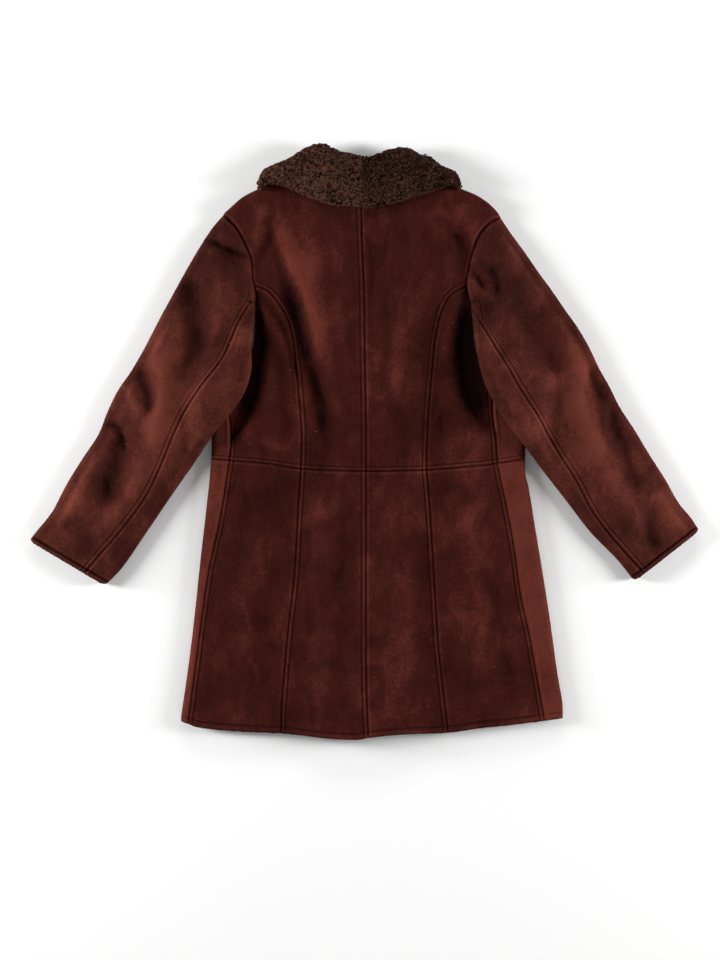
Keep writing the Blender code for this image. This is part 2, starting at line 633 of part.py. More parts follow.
def collar_back(side):
    """The collar's half on the back: the fall over the back, and past the neck seam its thicker stand."""
    edge = LINE["collar_edge"]
    middle = share_of(edge, (-5, 373))
    lower = part_of(edge, 0, middle, COLLAR_COLUMNS) if side == "left" else part_of(edge, 1, middle,
        COLLAR_COLUMNS)
    shoulder, neck = LINE["shoulder", side], LINE["neck_back", side]
    begin = share_of(shoulder, lower[0])
    seam = np.vstack([part_of(shoulder, begin, 1, SHOULDER_COLUMNS),
                      part_of(neck, 0, 1, SHOULDER_COLUMNS)[1:]])
    upper = part_of(LINE["collar_top", side], 0, 1, COLLAR_COLUMNS)
    lower[0, 1] = seam[0, 1] - 6
    out = upper - seam
    out /= np.linalg.norm(out, axis=1)[:, None] + 1e-9
    reach = seam + out * STAND_GAP / 2
    rows = [lower + (reach - lower) * t for t in FALL_STEPS]
    seam_out = seam + out * STAND_GAP
    rows += [seam_out + (upper - seam_out) * t for t in STAND_STEPS]
    plan = np.array(rows)
    plan[:, -1, 0] += SIGN[side] * SEAM / 2
    x, y = plan[..., 0], plan[..., 1]
    fall = back_top(x, y) + REST * 1.7
    low = fall.copy()
    stations = np.arange(COLLAR_COLUMNS)
    on_neck = ease((stations - 6) / 2)
    stand = back_bottom(seam[:, 0], seam[:, 1]) * on_neck + SHOULDER_Z * (1 - on_neck)
    low[len(FALL_STEPS):] = stand[None, :]
    crown = back_top(seam[:, 0], seam[:, 1]) + REST + COLLAR
    high = fall + COLLAR
    high[len(FALL_STEPS):] = crown[None, :]
    middle_z = np.maximum((stand + crown) / 2 * on_neck + (SHOULDER_Z + 1.5) * (1 - on_neck), stand + 1.5)
    for k, t in enumerate(STAND_STEPS):
        drop = 1 - np.sqrt(1 - t * t)
        high[len(FALL_STEPS) + k] = crown - (crown - middle_z) * drop
        low[len(FALL_STEPS) + k] = stand + (np.minimum(middle_z - 1.5,
                                                       (stand + crown) / 2 - 1) - stand) * drop * on_neck
    high[0] = low[0] + 3.0
    high[1] = low[1] + 9.0
    slab(f"collar_back_{side}", plan, high, low, WOOL)


def collar_front(side):
    """The collar's half under the front: its leaf on the surface, thicker past the front neck seam."""
    lower = part_of(LINE["leaf_edge", side], 0, 1, COLLAR_COLUMNS)
    shoulder, neck = LINE["shoulder", side], LINE["neck_front", side]
    begin = share_of(shoulder, COLLAR_TOP[side][0])
    end = share_of(neck, (SIGN[side] * LEAF_END, FRONT_NECK_Y))
    seam = np.vstack([part_of(shoulder, begin, 1, SHOULDER_COLUMNS),
                      part_of(neck, 0, end, SHOULDER_COLUMNS)[1:]])
    upper = part_of(LINE["leaf_roll", side], 0, 1, COLLAR_COLUMNS)
    out = upper - seam
    out /= np.linalg.norm(out, axis=1)[:, None] + 1e-9
    seam_out = seam + out * LEAF_GAP
    reach = seam + out * STAND_GAP / 3
    rows = [lower + (reach - lower) * t for t in LEAF_STEPS]
    rows += [seam_out + (upper - seam_out) * t for t in ROLL_STEPS]
    plan = np.array(rows)
    low = np.zeros(plan.shape[:2])
    high = np.full(plan.shape[:2], COLLAR)
    high[0] = 4.0
    high[1] = 10.0
    stations = np.arange(COLLAR_COLUMNS)
    on_neck = ease((stations - 6) / 2)
    rim = (COLLAR + LAYER) * on_neck + (SHOULDER_Z - SEAM) * (1 - on_neck)
    for k, t in enumerate(ROLL_STEPS):
        drop = 1 - np.sqrt(1 - t * t)
        high[len(LEAF_STEPS) + k] = rim - (rim * 0.4) * drop * on_neck
        low[len(LEAF_STEPS) + k] = rim * 0.5 * drop * on_neck + (SHOULDER_Z - 2.5) * drop * (1 - on_neck)
    slab(f"collar_front_{side}", plan, high, low, WOOL)


def main():
    for old in list(bpy.data.objects):
        bpy.data.objects.remove(old)
    for side in SIDES:
        back_upper(side)
        side_back_upper(side)
        skirt_back(f"back_skirt_{side}", LINE["princess_skirt", side], LINE["centre"], 7)
        skirt_back(f"side_back_skirt_{side}", LINE["side", side], LINE["princess_skirt", side], 7)
        front_upper(side)
        front_skirt(side)
        sleeve(side)
        collar_back(side)
        collar_front(side)


main()
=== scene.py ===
"""The looks of a shearling coat laid face down: napped suede, topstitched seams and a curly wool collar.

The frame is the CAD's: X to the viewer's right, Y towards the collar, Z up. Tables are in millimetres,
meshes in metres.
"""

import bpy
import numpy as np
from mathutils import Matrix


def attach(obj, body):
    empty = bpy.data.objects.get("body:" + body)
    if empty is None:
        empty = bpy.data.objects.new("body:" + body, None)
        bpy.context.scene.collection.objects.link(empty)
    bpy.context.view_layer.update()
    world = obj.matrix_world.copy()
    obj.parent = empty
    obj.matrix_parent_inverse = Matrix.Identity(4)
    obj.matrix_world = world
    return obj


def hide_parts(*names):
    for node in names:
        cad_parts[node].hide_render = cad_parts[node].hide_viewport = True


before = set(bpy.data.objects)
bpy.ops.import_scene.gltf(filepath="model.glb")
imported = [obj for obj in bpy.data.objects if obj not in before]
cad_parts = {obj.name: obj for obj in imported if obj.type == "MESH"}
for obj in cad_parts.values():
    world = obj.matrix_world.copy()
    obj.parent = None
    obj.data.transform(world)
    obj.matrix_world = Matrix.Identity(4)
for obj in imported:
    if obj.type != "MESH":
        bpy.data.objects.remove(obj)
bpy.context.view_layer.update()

MM = 0.001
WALL = 10.0            # sheepskin: suede with its clipped wool
REST = 1.2             # air between two layers that lie on each other
SEAM = 0.4             # gap between two pieces at a seam
LAYER = WALL + REST
SIDE_RADIUS = (WALL + LAYER) / 2   # the body's rolled side edge
COLLAR = 12.0          # thickness of the collar
SLEEVE_FULL = 3.0      # how much fuller a sleeve is than two walls
SHOULDER_ROUND = 9.0   # how far a shoulder edge is rounded down
OVERLAP = 40.0         # how far each front passes the centre front
SHOULDER_Z = COLLAR + WALL + 1.5 * REST   # the parting line where the collar turns over a shoulder
STAND_GAP = 3.0        # between the collar's stand and the neck edge

# ---- seams and outlines, rows of (x, y) -------------------------------------------------
CENTRE_BACK = ((-5, 411), (-4, 340), (0, 233), (1, 150), (3, 20), (3, -46), (3, -184), (3, -309),
               (4, -400), (7, -470))
WAIST = ((-246, -25), (-214, -28), (-154, -33), (-101, -41), (1, -45), (97, -43), (151, -39), (210, -33),
         (260, -25))
HEM = (
    (-292, -443), (-280, -447), (-261, -453), (-195, -459), (-132, -462), (-57, -469), (-10, -471),
    (7, -468),
    (56, -463), (133, -461), (182, -454), (229, -449), (286, -442), (317, -438),
)
NECK_FRONT = {"left": ((-98, 433), (-84, 385), (-50, 348), (-8, 335), (40, 335)),
              "right": ((98, 433), (84, 385), (50, 348), (8, 335), (-40, 335))}
NECK_BACK = {"left": ((-98, 433), (-70, 419), (-40, 412.5), (-5, 411)),
             "right": ((98, 433), (70, 419), (40, 412.5), (-5, 411))}
SHOULDER = {"left": ((-224, 364), (-211, 375), (-192, 391), (-166, 404), (-98, 433)),
            "right": ((218, 359), (209, 371), (183, 391), (152, 405), (98, 433))}
ARMHOLE = {  # shoulder tip, past the princess seam, down behind the sleeve to the top of the side seam
    "left": ((-224, 364), (-202, 342), (-186, 312), (-179, 294), (-177, 265), (-173.5, 247), (-172, 227),
             (-174, 190), (-177, 155), (-192, 128), (-222, 110)),
    "right": ((218, 359), (198, 349), (180, 327), (171, 298), (165, 272), (163, 250), (168, 227),
              (173, 190), (176, 155), (187, 125), (203, 108)),
}
ARMHOLE_TURN = {"left": (-241, 104),
                "right": (262, 100)}  # where the armhole turns under at the body's edge
PRINCESS_UPPER = {
    "left": ((-173.5, 250), (-155, 243), (-140, 228), (-125, 205), (-115, 177), (-109, 134), (-103, 75),
             (-99, 15),
             (-100, -41)),
    "right": ((163, 250), (139, 236), (125, 214), (114, 170), (108, 115), (103, 61), (100, 6), (99, -43)),
}
PRINCESS_SKIRT = {"left": ((-100, -41), (-104, -99), (-111, -215), (-120, -293), (-131, -419),
                           (-132, -462)),
                  "right": ((99, -43), (104, -99), (114, -262), (119, -334), (132, -447), (133, -461))}
SIDE_SEAM = {
    "left": ((-222, 110), (-215, 50), (-212, -9), (-214, -28), (-230, -127), (-246, -199), (-258, -278),
             (-265, -334), (-270, -372), (-280, -447)),
    "right": ((203, 108), (205, 53), (209, 10), (212, -33), (226, -99), (239, -171), (249, -243),
              (261, -297),
              (273, -363), (287, -442)),
}
BODY_EDGE = {
    "left": ((-241, 104), (-243, 40), (-243, -12), (-244, -36), (-252, -111), (-260, -180), (-267, -246),
             (-274, -309), (-283, -378), (-291, -432), (-292, -443)),
    "right": ((262, 100), (260, 40), (257, -13), (257, -49), (262, -69), (272, -130), (281, -184),
              (290, -240),
              (298, -293), (308, -366), (316, -413), (317, -438)),
}
SLEEVE_SEAM = {
    "left": ((-180, 225), (-197, 196), (-213, 157), (-228, 126), (-261, 84), (-286, 46), (-305, 6),
             (-323, -38),
             (-346, -84), (-369, -117), (-397, -152), (-423, -182), (-446, -209), (-452, -216)),
    "right": ((172, 214), (196, 170), (221, 130), (243, 90), (278, 35), (301, -5), (333, -54), (363, -109),
              (390, -145), (420, -179), (449, -212), (455, -218)),
}
# each row crosses a sleeve: outer edge x, y, then inner edge or armhole x, y
SLEEVE_ROWS = {
    "left": ((-226, 361, -208, 347), (-243, 341, -190, 319), (-266, 305, -179, 292), (-288, 267, -177, 262),
             (-306, 234, -173, 226), (-323, 203, -174, 196), (-341, 168, -175.5, 168),
             (-352, 147, -177.5, 150),
             (-372, 113, -178, 115), (-392, 84, -188, 81), (-409, 49, -208, 50), (-423, 14, -236, 16),
             (-448, -24, -265, -25), (-474, -66, -307, -85), (-496, -108, -345, -141),
             (-518, -136, -385, -199),
             (-533, -155, -412, -227)),
    "right": ((220, 356, 202, 350), (237, 330, 184, 330), (256, 304, 173, 302), (278, 272, 166, 272),
              (300, 242, 168.5, 226), (322, 210, 172, 197), (343, 180, 174.5, 170), (360, 150, 176.5, 150),
              (374, 120, 184, 115), (391, 90, 194, 86), (407, 58, 212, 52), (431, 21, 239, 13),
              (452, -14, 270, -26), (480, -58, 317, -86), (501, -95, 361, -143), (520, -118, 403, -186),
              (534, -139, 430, -220)),
}
SEAM_START_ROW = 4     # the sleeve row where its two pieces part
COLLAR_EDGE = ((-167, 407), (-144, 410), (-123, 406), (-108, 399), (-83, 388), (-61, 380), (-43, 376),
               (-5, 373),
               (8, 372), (31, 376), (55, 382), (86, 392), (115, 401), (140, 409), (152, 406))
COLLAR_TOP = {
    "left": ((-167, 411), (-157, 432), (-119, 449), (-92, 466), (-67, 472), (-45, 463), (-21, 458),
             (-5, 454)),
    "right": ((152, 410), (144, 428), (131, 434), (98, 448), (74, 464), (57, 466), (42, 464), (20, 457),
              (-5, 453)),
}
LEAF_EDGE = {"left": ((-167, 406), (-140, 372), (-105, 330), (-65, 290), (-30, 268), (-6, 262)),
             "right": ((152, 405), (135, 372), (105, 330), (65, 290), (30, 268), (6, 262))}
LEAF_ROLL = {"left": ((-167, 411), (-157, 432), (-119, 449), (-92, 460), (-68, 410), (-38, 374), (-6, 362)),
             "right": ((152, 410), (144, 428), (131, 434), (92, 456), (68, 410), (38, 374), (6, 362))}

CENTRE_WAIST_Y = -46   # where the centre seam crosses the waist seam
NECK_Y = 411           # the neck seam at the centre back
FRONT_NECK_Y = 335     # the neck seam at the centre front
COLLAR_MIDDLE = (-5, 373)   # where the collar's lower edge crosses the centre back
LEAF_END = 6           # how far from the middle each front leaf of the collar ends
LEAF_MARGIN = 38       # how much lower than the fronts the back begins to rise over the leaves
CAP_POINTS = 60        # of the armhole's points, those of the sleeve cap
UPPER_HOLE = 84        # of the points, those a sleeve hangs from
LOWER_HOLE = 100       # and those its surface is sewn to
LEAST_LAP = 15.0       # the sleeve's back seam stays this far from the inner edge
LEAST_SHARE = 0.45     # and at least this share of the width from the outer one
HIDDEN_LAP = (16, 44)  # the under seam's distance from the inner edge: at its start, and how much it grows
COLLAR_COLUMNS = 13
SHOULDER_COLUMNS = 7   # of the collar's columns, those along the shoulder
LEAF_RISE = (90, 65)   # what lies on the leaves rises from this far below their edge, over this distance
FRONT_CLIMB = (87, 38)      # the left front climbs from this far left of the middle, over this distance
SLEEVE_CLIMB = (46, 42)     # a sleeve climbs from this far outside the body's edge, over this distance
CLIMB = {"left": (-92, -79, -67, -54, -45, OVERLAP), "right": (-OVERLAP,)}   # a front's last columns
LEAF_GAP = 12.0        # between the collar's front leaf and the neck edge of the front

# the largest folds on the back: path (x, y), half width, height
FOLDS = (
    (((-133, 345), (-111, 294), (-86, 251), (-71, 178), (-68, 130)), 20, 5.5),
    (((-168, 236), (-138, 180), (-112, 125)), 11, 4.0),
    (((149, 226), (131, 173), (127, 122)), 13, 4.0),
)


# ---- curves -----------------------------------------------------------------------------
def smooth(points, per_span=12):
    """A curve through the points, as a dense polyline."""
    p = np.array(points, float)
    p = np.vstack([2 * p[0] - p[1], p, 2 * p[-1] - p[-2]])
    step = np.linspace(0, 1, per_span, endpoint=False)[:, None]
    out = []
    for a, b, c, d in zip(p, p[1:], p[2:], p[3:]):
        slope_b = (c - a) * np.linalg.norm(c - b) / (np.linalg.norm(c - b) + np.linalg.norm(b - a) + 1e-9)
        slope_c = (d - b) * np.linalg.norm(c - b) / (np.linalg.norm(c - b) + np.linalg.norm(d - c) + 1e-9)
        s2, s3 = step**2, step**3
        out.append((2 * s3 - 3 * s2 + 1) * b + (s3 - 2 * s2 + step) * slope_b
                   + (3 * s2 - 2 * s3) * c + (s3 - s2) * slope_c)
    return np.vstack(out + [p[-2][None]])


def lengths(line):
    return np.concatenate([[0], np.cumsum(np.linalg.norm(np.diff(line, axis=0), axis=1))])


def along(line, shares):
    """Points at these shares of a polyline's length."""
    run = lengths(line)
    at = np.asarray(shares) * run[-1]
    return np.column_stack([np.interp(at, run, line[:, 0]), np.interp(at, run, line[:, 1])])


def by_height(line, ys):
    """Points of an upright polyline at these heights."""
    order = np.argsort(line[:, 1])
    ys = np.asarray(ys, float)
    return np.column_stack([np.interp(ys, line[order, 1], line[order, 0]), ys])


def at_x(line, x):
    order = np.argsort(line[:, 0])
    return np.interp(x, line[order, 0], line[order, 1])


def share_of(line, point):
    """The share of a polyline's length at its nearest vertex to a point."""
    near = np.argmin(np.linalg.norm(line - np.array(point, float), axis=1))
    return lengths(line)[near] / lengths(line)[-1]


def part_of(line, start, end, count):
    """Even points from share start to share end of a polyline."""
    return along(line, np.linspace(start, end, count))


def distance(line, x, y):
    """Distance from each point to a polyline."""
    best = np.full(np.shape(x), 1e9)
    for (ax, ay), (bx, by) in zip(line, line[1:]):
        dx, dy = bx - ax, by - ay
        t = np.clip(((x - ax) * dx + (y - ay) * dy) / (dx * dx + dy * dy + 1e-12), 0, 1)
        best = np.minimum(best, np.hypot(x - ax - t * dx, y - ay - t * dy))
    return best


def inside(outline, x, y):
    """Which points lie inside a closed outline."""
    found = np.zeros(np.shape(x), bool)
    for (ax, ay), (bx, by) in zip(outline, np.roll(outline, -1, axis=0)):
        crosses = (ay > y) != (by > y)
        found ^= crosses & (x < (bx - ax) * (y - ay) / (by - ay + 1e-12) + ax)
    return found


def ease(t):
    t = np.clip(t, 0, 1)
    return t * t * (3 - 2 * t)


SIDES = ("left", "right")
SIGN = {"left": -1, "right": 1}
LINE = {
    "centre": smooth(CENTRE_BACK),
    "waist": smooth(WAIST),
    "hem": smooth(HEM),
    "collar_edge": smooth(COLLAR_EDGE),
    **{(name, side): smooth(table[side]) for side in SIDES for name, table in (
        ("neck_front", NECK_FRONT), ("neck_back", NECK_BACK), ("shoulder", SHOULDER), ("armhole", ARMHOLE),
        ("princess_upper", PRINCESS_UPPER), ("princess_skirt", PRINCESS_SKIRT), ("side", SIDE_SEAM),
        ("edge", BODY_EDGE), ("sleeve_seam", SLEEVE_SEAM), ("collar_top", COLLAR_TOP),
        ("leaf_edge", LEAF_EDGE),
        ("leaf_roll", LEAF_ROLL))},
}
for side in SIDES:
    turn = np.array([ARMHOLE_TURN[side]], float)
    hole, flank = LINE["armhole", side], LINE["edge", side][1:]
    LINE["hidden_edge", side] = np.vstack([hole[CAP_POINTS:], turn, flank])
    LINE["body", side] = np.vstack([hole, turn, flank, [[0, -460], [0, 400]]])


# ---- heights ----------------------------------------------------------------------------
def leaf_lift(x, y, margin=0.0):
    """How far the collar's front leaves lift what lies on them. A margin makes the rise begin lower."""
    edge = np.where(x < 0, at_x(LINE["leaf_edge", "left"], x), at_x(LINE["leaf_edge", "right"], x))
    beyond = np.maximum(np.maximum(COLLAR_EDGE[0][0] - x, x - COLLAR_EDGE[-1][0]), 0)
    return (COLLAR + REST) * ease((y - edge - beyond + LEAF_RISE[0] + margin) / LEAF_RISE[1])


def front_bottom(side, x, y):
    """Underside of a front: the left one climbs onto the right one at the centre front."""
    climb = (LAYER + 1) * ease((x + FRONT_CLIMB[0]) / FRONT_CLIMB[1]) if side == "left" else 0.0
    return leaf_lift(x, y) + climb


def fold(x, y):
    """The height of the folds, each a soft ridge along its path that fades at both ends."""
    total = 0.0
    for path, half_width, height in FOLDS:
        line = smooth(path)
        middle = line[len(line) // 2]
        reach = lengths(line)[-1] / 2
        fade = ease(1.5 - np.hypot(x - middle[0], y - middle[1]) / reach * 1.2)
        total = total + height * fade * np.exp(-(distance(line, x, y) / half_width) ** 2)
    return total


def neck_sag(x, y):
    """1 where the back sags to the surface inside the neck opening."""
    return ease((y - 385) / 50) * ease(1 - (np.abs(x) - 22) / 45)


def back_bottom(x, y):
    """Underside of the back: on the leaves and on the fronts, which lie on each other in the middle."""
    over_fronts = (LAYER + 1) * ease(1 - (np.abs(x) - 50) / 60) * (1 - ease((y - 350) / 50))
    rest = leaf_lift(x, y, LEAF_MARGIN) + LAYER + over_fronts
    return rest * (1 - neck_sag(x, y)) + fold(x, y)


def back_top(x, y):
    return back_bottom(x, y) + WALL


def inside_shoulder(side, x, y):
    """0 at the shoulder's edge, 1 where its rounding ends."""
    b = np.clip(distance(LINE["shoulder", side], x, y) / 10.0, 0, 1)
    return np.sqrt(np.maximum(1 - (1 - b) ** 2, 0))


def sleeve_bottom(side, x, y):
    """Underside of a sleeve: on the surface, then up over the body's side below the armhole."""
    d = distance(LINE["hidden_edge", side], x, y) * np.where(inside(LINE["body", side], x, y), 1, -1)
    reach = ease((227 - y) / 72)
    return (2 * LAYER + 1.8) * reach * ease((d + SLEEVE_CLIMB[0]) / SLEEVE_CLIMB[1])


def sleeve_height(side, x, y):
    """A sleeve's thickness: two walls and the air between them, fuller away from the armhole."""
    from_hole = distance(LINE["armhole", side][:UPPER_HOLE], x, y)
    return 2 * WALL + REST + SLEEVE_FULL * ease((from_hole - 4) / 50)


# ---- finer sizes, for what shows --------------------------------------------------------
GRID = 4.0             # spacing of a panel's points away from its edges
EDGE_STEPS = (0, 0.4, 1.0, 1.8, 2.8, 4.0, 5.2, 6.2, 7.0, 7.8, 9.0, 10.2, 11.2, 13.2)   # and near them
ROUND = 3.2            # how far from a seam its edges turn down
ROUND_DEPTH = 3.4
LIP = 0.9              # how far the skin bulges beside a seam
STITCH_AT = 6.8        # topstitching, from its seam
HEM_STITCH_AT = 10.0
CUFF_STITCH_AT = 8.5
STITCH_PITCH = 4.4
STITCH_LENGTH = 3.0
EDGE_WEAR_AND_PAINTED_LIGHT = {"left": 0.45, "right": 0.62}   # how much lighter the fronts are where they turn to the back: worn nap, and painted light on the side strips that face the lamps
LEAST_THICK = 0.8      # of a shell pressed down at its seams
SLEEVE_CREASE_GAIN = 1.95
CAP_REACH = 3.4        # how far a sleeve cap's first row reaches into the shoulder seam
CUFF_CORNER = 6.0      # rounding of a cuff's corners
CURL_PAINTED_SHADING = 0.44       # painted light and shade on a lock of wool: darker where it lies low, lighter where it stands up
FOLD_PAINTED_SHADING = 0.092      # painted light on a ridge and painted shade in a trough, by each mm of their height
SLEEVE_CROWN = 10.0    # how far a sleeve's middle stands above its CAD solid

# creases and ridges: path, half width, height (troughs are negative)
BACK_CREASES = (
    (((-136, 352), (-114, 297), (-90, 253), (-74, 182), (-70, 128)), 15, 2.6),
    (((-147, 326), (-126, 268), (-105, 188), (-86, 119), (-70, 57), (-62, 5)), 11, -4.8),
    (((-62, 150), (-52, 100), (-40, 30)), 12, 1.8),
    (((-157, 230), (-133, 190), (-117, 148), (-106, 108)), 6, -4.0),
    (((-160, 372), (-166, 335), (-172, 305)), 10, 2.6),
    (((-150, 352), (-147, 328), (-160, 292)), 7, -2.2),
    (((-173, 236), (-172, 160), (-178, 95), (-196, 42), (-220, 2)), 13, -9.5),
    (((-137, 128), (-132, 70), (-118, 8)), 9, -2.0),
    (((-100, 120), (-84, 52), (-72, -10)), 11, 1.6),
    (((168, 245), (166, 190), (166, 130), (174, 80), (194, 32)), 17, -9.5),
    (((118, 352), (137, 336), (155, 306)), 11, -2.8),
    (((152, 372), (166, 345), (172, 312)), 9, 2.2),
    (((6, 322), (13, 276), (11, 232)), 4.5, -1.6),
    (((40, 214), (34, 156), (28, 84)), 9, -2.2),
    (((58, 226), (56, 160), (48, 92)), 12, 1.5),
    (((-35, 330), (-42, 262), (-36, 190)), 14, 1.2),
    (((-196, 10), (-160, 2), (-128, -14)), 9, 1.6),
    (((128, -12), (160, 6), (190, 8)), 9, 1.4),
    (((-60, -90), (-66, -210), (-58, -330)), 22, 1.6),
    (((-36, -160), (-30, -290), (-44, -410)), 14, -1.5),
    (((52, -110), (60, -240), (52, -380)), 20, 1.4),
    (((88, -150), (94, -260), (92, -350)), 12, -1.3),
    (((-168, -120), (-188, -250), (-196, -380)), 20, 1.7),
    (((-136, -170), (-150, -290), (-158, -400)), 13, -1.4),
    (((162, -110), (178, -230), (190, -370)), 20, 1.8),
    (((206, -230), (222, -330), (232, -410)), 11, -1.6),
)
SLEEVE_CREASES = {
    "left": ((((-260, 326), (-236, 316), (-205, 301), (-180, 294)), 5, -4.5),
             (((-250, 340), (-228, 330), (-200, 318)), 7, 1.8),
             (((-284, 250), (-268, 205), (-262, 150), (-270, 108)), 20, -6.0),
             (((-224, 262), (-226, 206), (-246, 150), (-262, 120)), 14, 2.6),
             (((-322, 196), (-330, 160), (-318, 110), (-322, 50), (-330, -6)), 15, 3.2),
             (((-372, 117), (-352, 104), (-340, 78), (-338, 52)), 10, -4.4),
             (((-384, 92), (-366, 74), (-356, 46)), 8, 2.4),
             (((-424, 20), (-404, 30), (-388, 20), (-378, -8)), 6, -4.6),
             (((-384, -5), (-392, -48), (-408, -92)), 17, -4.8),
             (((-436, -34), (-446, -72), (-468, -112)), 15, 2.2),
             (((-360, -62), (-384, -104), (-420, -146)), 13, 2.4),
             (((-462, -128), (-444, -148), (-438, -176)), 15, -2.6),
             (((-288, 20), (-300, -14), (-318, -52)), 9, 1.8),
             (((-196, 180), (-200, 140), (-214, 92)), 13, 1.8)),
    "right": ((((164, 282), (178, 264), (192, 248)), 6, -3.4),
              (((170, 262), (186, 240), (204, 226)), 6, 2.4),
              (((186, 286), (204, 268), (214, 240)), 6, -2.0),
              (((226, 330), (250, 276), (276, 222)), 17, 2.4),
              (((246, 214), (266, 170), (300, 122)), 18, -3.4),
              (((308, 196), (330, 150), (342, 106)), 14, 2.2),
              (((372, 122), (366, 104), (378, 72)), 11, -4.6),
              (((406, 66), (396, 40), (404, 6)), 9, -4.2),
              (((332, 76), (352, 30), (372, -20)), 18, 3.0),
              (((410, 0), (414, -34), (430, -70)), 13, -4.2),
              (((384, -52), (412, -98), (440, -140)), 14, 2.6),
              (((456, -104), (448, -134), (462, -170)), 14, -3.0),
              (((478, -74), (492, -110), (508, -140)), 12, 2.0),
              (((232, 76), (262, 28), (290, -26)), 12, 2.0),
              (((184, 176), (198, 130), (214, 92)), 12, 1.6)),
}

# broad patches of painted light and painted shade on the suede: path, half width, tone
SLEEVE_PAINTED_SHADING = {
    "left": ((((-292, 130), (-312, 66), (-330, 20)), 34, 0.62),
             (((-350, -20), (-376, -70)), 26, 0.22),
             (((-232, 348), (-220, 312), (-230, 282)), 34, -0.40),
             (((-262, 262), (-276, 200)), 26, -0.24),
             (((-420, 30), (-398, -20), (-410, -70)), 18, -0.26),
             (((-196, 210), (-208, 160)), 22, 0.10),
             (((-452, -130), (-430, -170)), 22, -0.18)),
    "right": ((((214, 330), (222, 280), (238, 232)), 38, -0.50),
              (((330, 150), (346, 96)), 26, 0.40),
              (((300, 110), (340, 40), (372, -10)), 24, 0.34),
              (((392, 96), (384, 40), (398, -10)), 14, -0.26),
              (((404, -30), (432, -90)), 22, 0.26),
              (((470, -90), (488, -130)), 20, 0.36),
              (((186, 230), (196, 180)), 24, -0.30)),
}
# the back's painted light and painted shade, in the same columns; the darkest are painted shadow at both
# armpits, beside the sleeves
BACK_PAINTED_SHADING = (
    (((-128, 340), (-108, 290), (-88, 240), (-66, 170), (-52, 110)), 14, 0.10),
    (((-122, 250), (-104, 180), (-84, 110), (-70, 40), (-72, -10)), 17, -0.26),
    (((-170, 200), (-176, 120), (-190, 50)), 16, -0.55),
    (((164, 200), (164, 130), (176, 60)), 19, -0.75),
    (((150, 330), (162, 290), (172, 262)), 18, -0.45),
    (((120, 140), (112, 80), (116, 20)), 18, -0.22),
    (((62, 240), (56, 160), (44, 80)), 20, 0.14),
    (((-216, 60), (-190, 20)), 20, 0.20),
    (((-120, -60), (-60, -64)), 20, -0.16),
    (((96, -66), (140, -70)), 18, -0.14),
)


# ---- small noises -----------------------------------------------------------------------
def chance(*index):
    """A number from 0 to 1 for each lattice point, the same on every run."""
    total = sum(np.asarray(i, float) * k for i, k in zip(index, (127.1, 311.7, 74.7, 53.3)))
    value = np.sin(total) * 43758.5453
    return value - np.floor(value)


def waves(x, y, size, seed):
    """Smooth noise from -1 to 1 with features of this size."""
    u, v = np.asarray(x) / size, np.asarray(y) / size
    i, j = np.floor(u), np.floor(v)
    s, t = ease(u - i), ease(v - j)
    lower = chance(i, j, seed) * (1 - s) + chance(i + 1, j, seed) * s
    upper = chance(i, j + 1, seed) * (1 - s) + chance(i + 1, j + 1, seed) * s
    return 2 * (lower * (1 - t) + upper * t) - 1


def clumps(points, size, seed):
    """Distance to the nearest clump's middle, in clump sizes, at points in space."""
    p = points / size
    base = np.floor(p)
    best = np.full(len(p), 9.0)
    for i in (-1, 0, 1):
        for j in (-1, 0, 1):
            for k in (-1, 0, 1):
                cell = base + (i, j, k)
                jitter = [chance(cell[:, 0], cell[:, 1], cell[:, 2], seed + n) for n in range(3)]
                best = np.minimum(best, np.linalg.norm(cell + np.column_stack(jitter) - p, axis=1))
    return best


# ---- surface detail ---------------------------------------------------------------------
def creased(creases, x, y):
    """The sum of rows of (path, half width, height), each fading at both ends."""
    total = np.zeros(np.shape(x))
    for path, half_width, height in creases:
        line = smooth(path, 5)
        near = distance(line, x, y)
        run = np.linalg.norm(line[-1] - line[0]) / 2
        middle = (line[0] + line[-1]) / 2
        out = np.hypot(x - middle[0], y - middle[1])
        fade = ease((1.25 * run + half_width - out) / (0.5 * run + half_width))
        total += height * fade * np.exp(-(near / half_width) ** 2)
    return total


def uneven(x, y):
    """Low swellings of the skin, in millimetres."""
    return 0.55 * waves(x, y, 62, 1) + 0.30 * waves(x, y, 27, 2) + 0.14 * waves(x, y, 11, 3)


def edge_profile(d, stitch_at=None):
    """The skin's height beside a seam or an edge, and its tone.

    The tone is dark in the seam and along the stitches, and worn on the lip between them.
    """
    b = 1 - np.clip(d / ROUND, 0, 1)
    lift = -ROUND_DEPTH * (1 - np.sqrt(np.maximum(1 - b * b, 0))) + LIP * np.exp(-((d - 4.6) / 2.0) ** 2)
    tone = 0.30 * np.exp(-((d - 3.6) / 1.8) ** 2) - 0.5 * np.exp(-(d / 0.9) ** 2)
    if stitch_at:
        groove = np.exp(-((d - stitch_at) / 0.95) ** 2)
        lift = lift - 1.1 * groove
        tone = tone - 0.38 * groove + 0.12 * np.exp(-((d - stitch_at - 2.2) / 1.2) ** 2)
        lift = lift + 0.3 * np.exp(-((d - stitch_at - 2.4) / 1.6) ** 2)
    return lift, tone


def edges(x, y, seams):
    """The sum of the profiles of (line, stitch distance) seams."""
    lift, tone = np.zeros(np.shape(x)), np.zeros(np.shape(x))
    for line, stitch_at in seams:
        every = 2 if len(line) > 60 else 1
        more = edge_profile(distance(line[::every], x, y), stitch_at)
        lift, tone = lift + more[0], tone + more[1]
    return np.maximum(lift, -ROUND_DEPTH - 0.6), tone


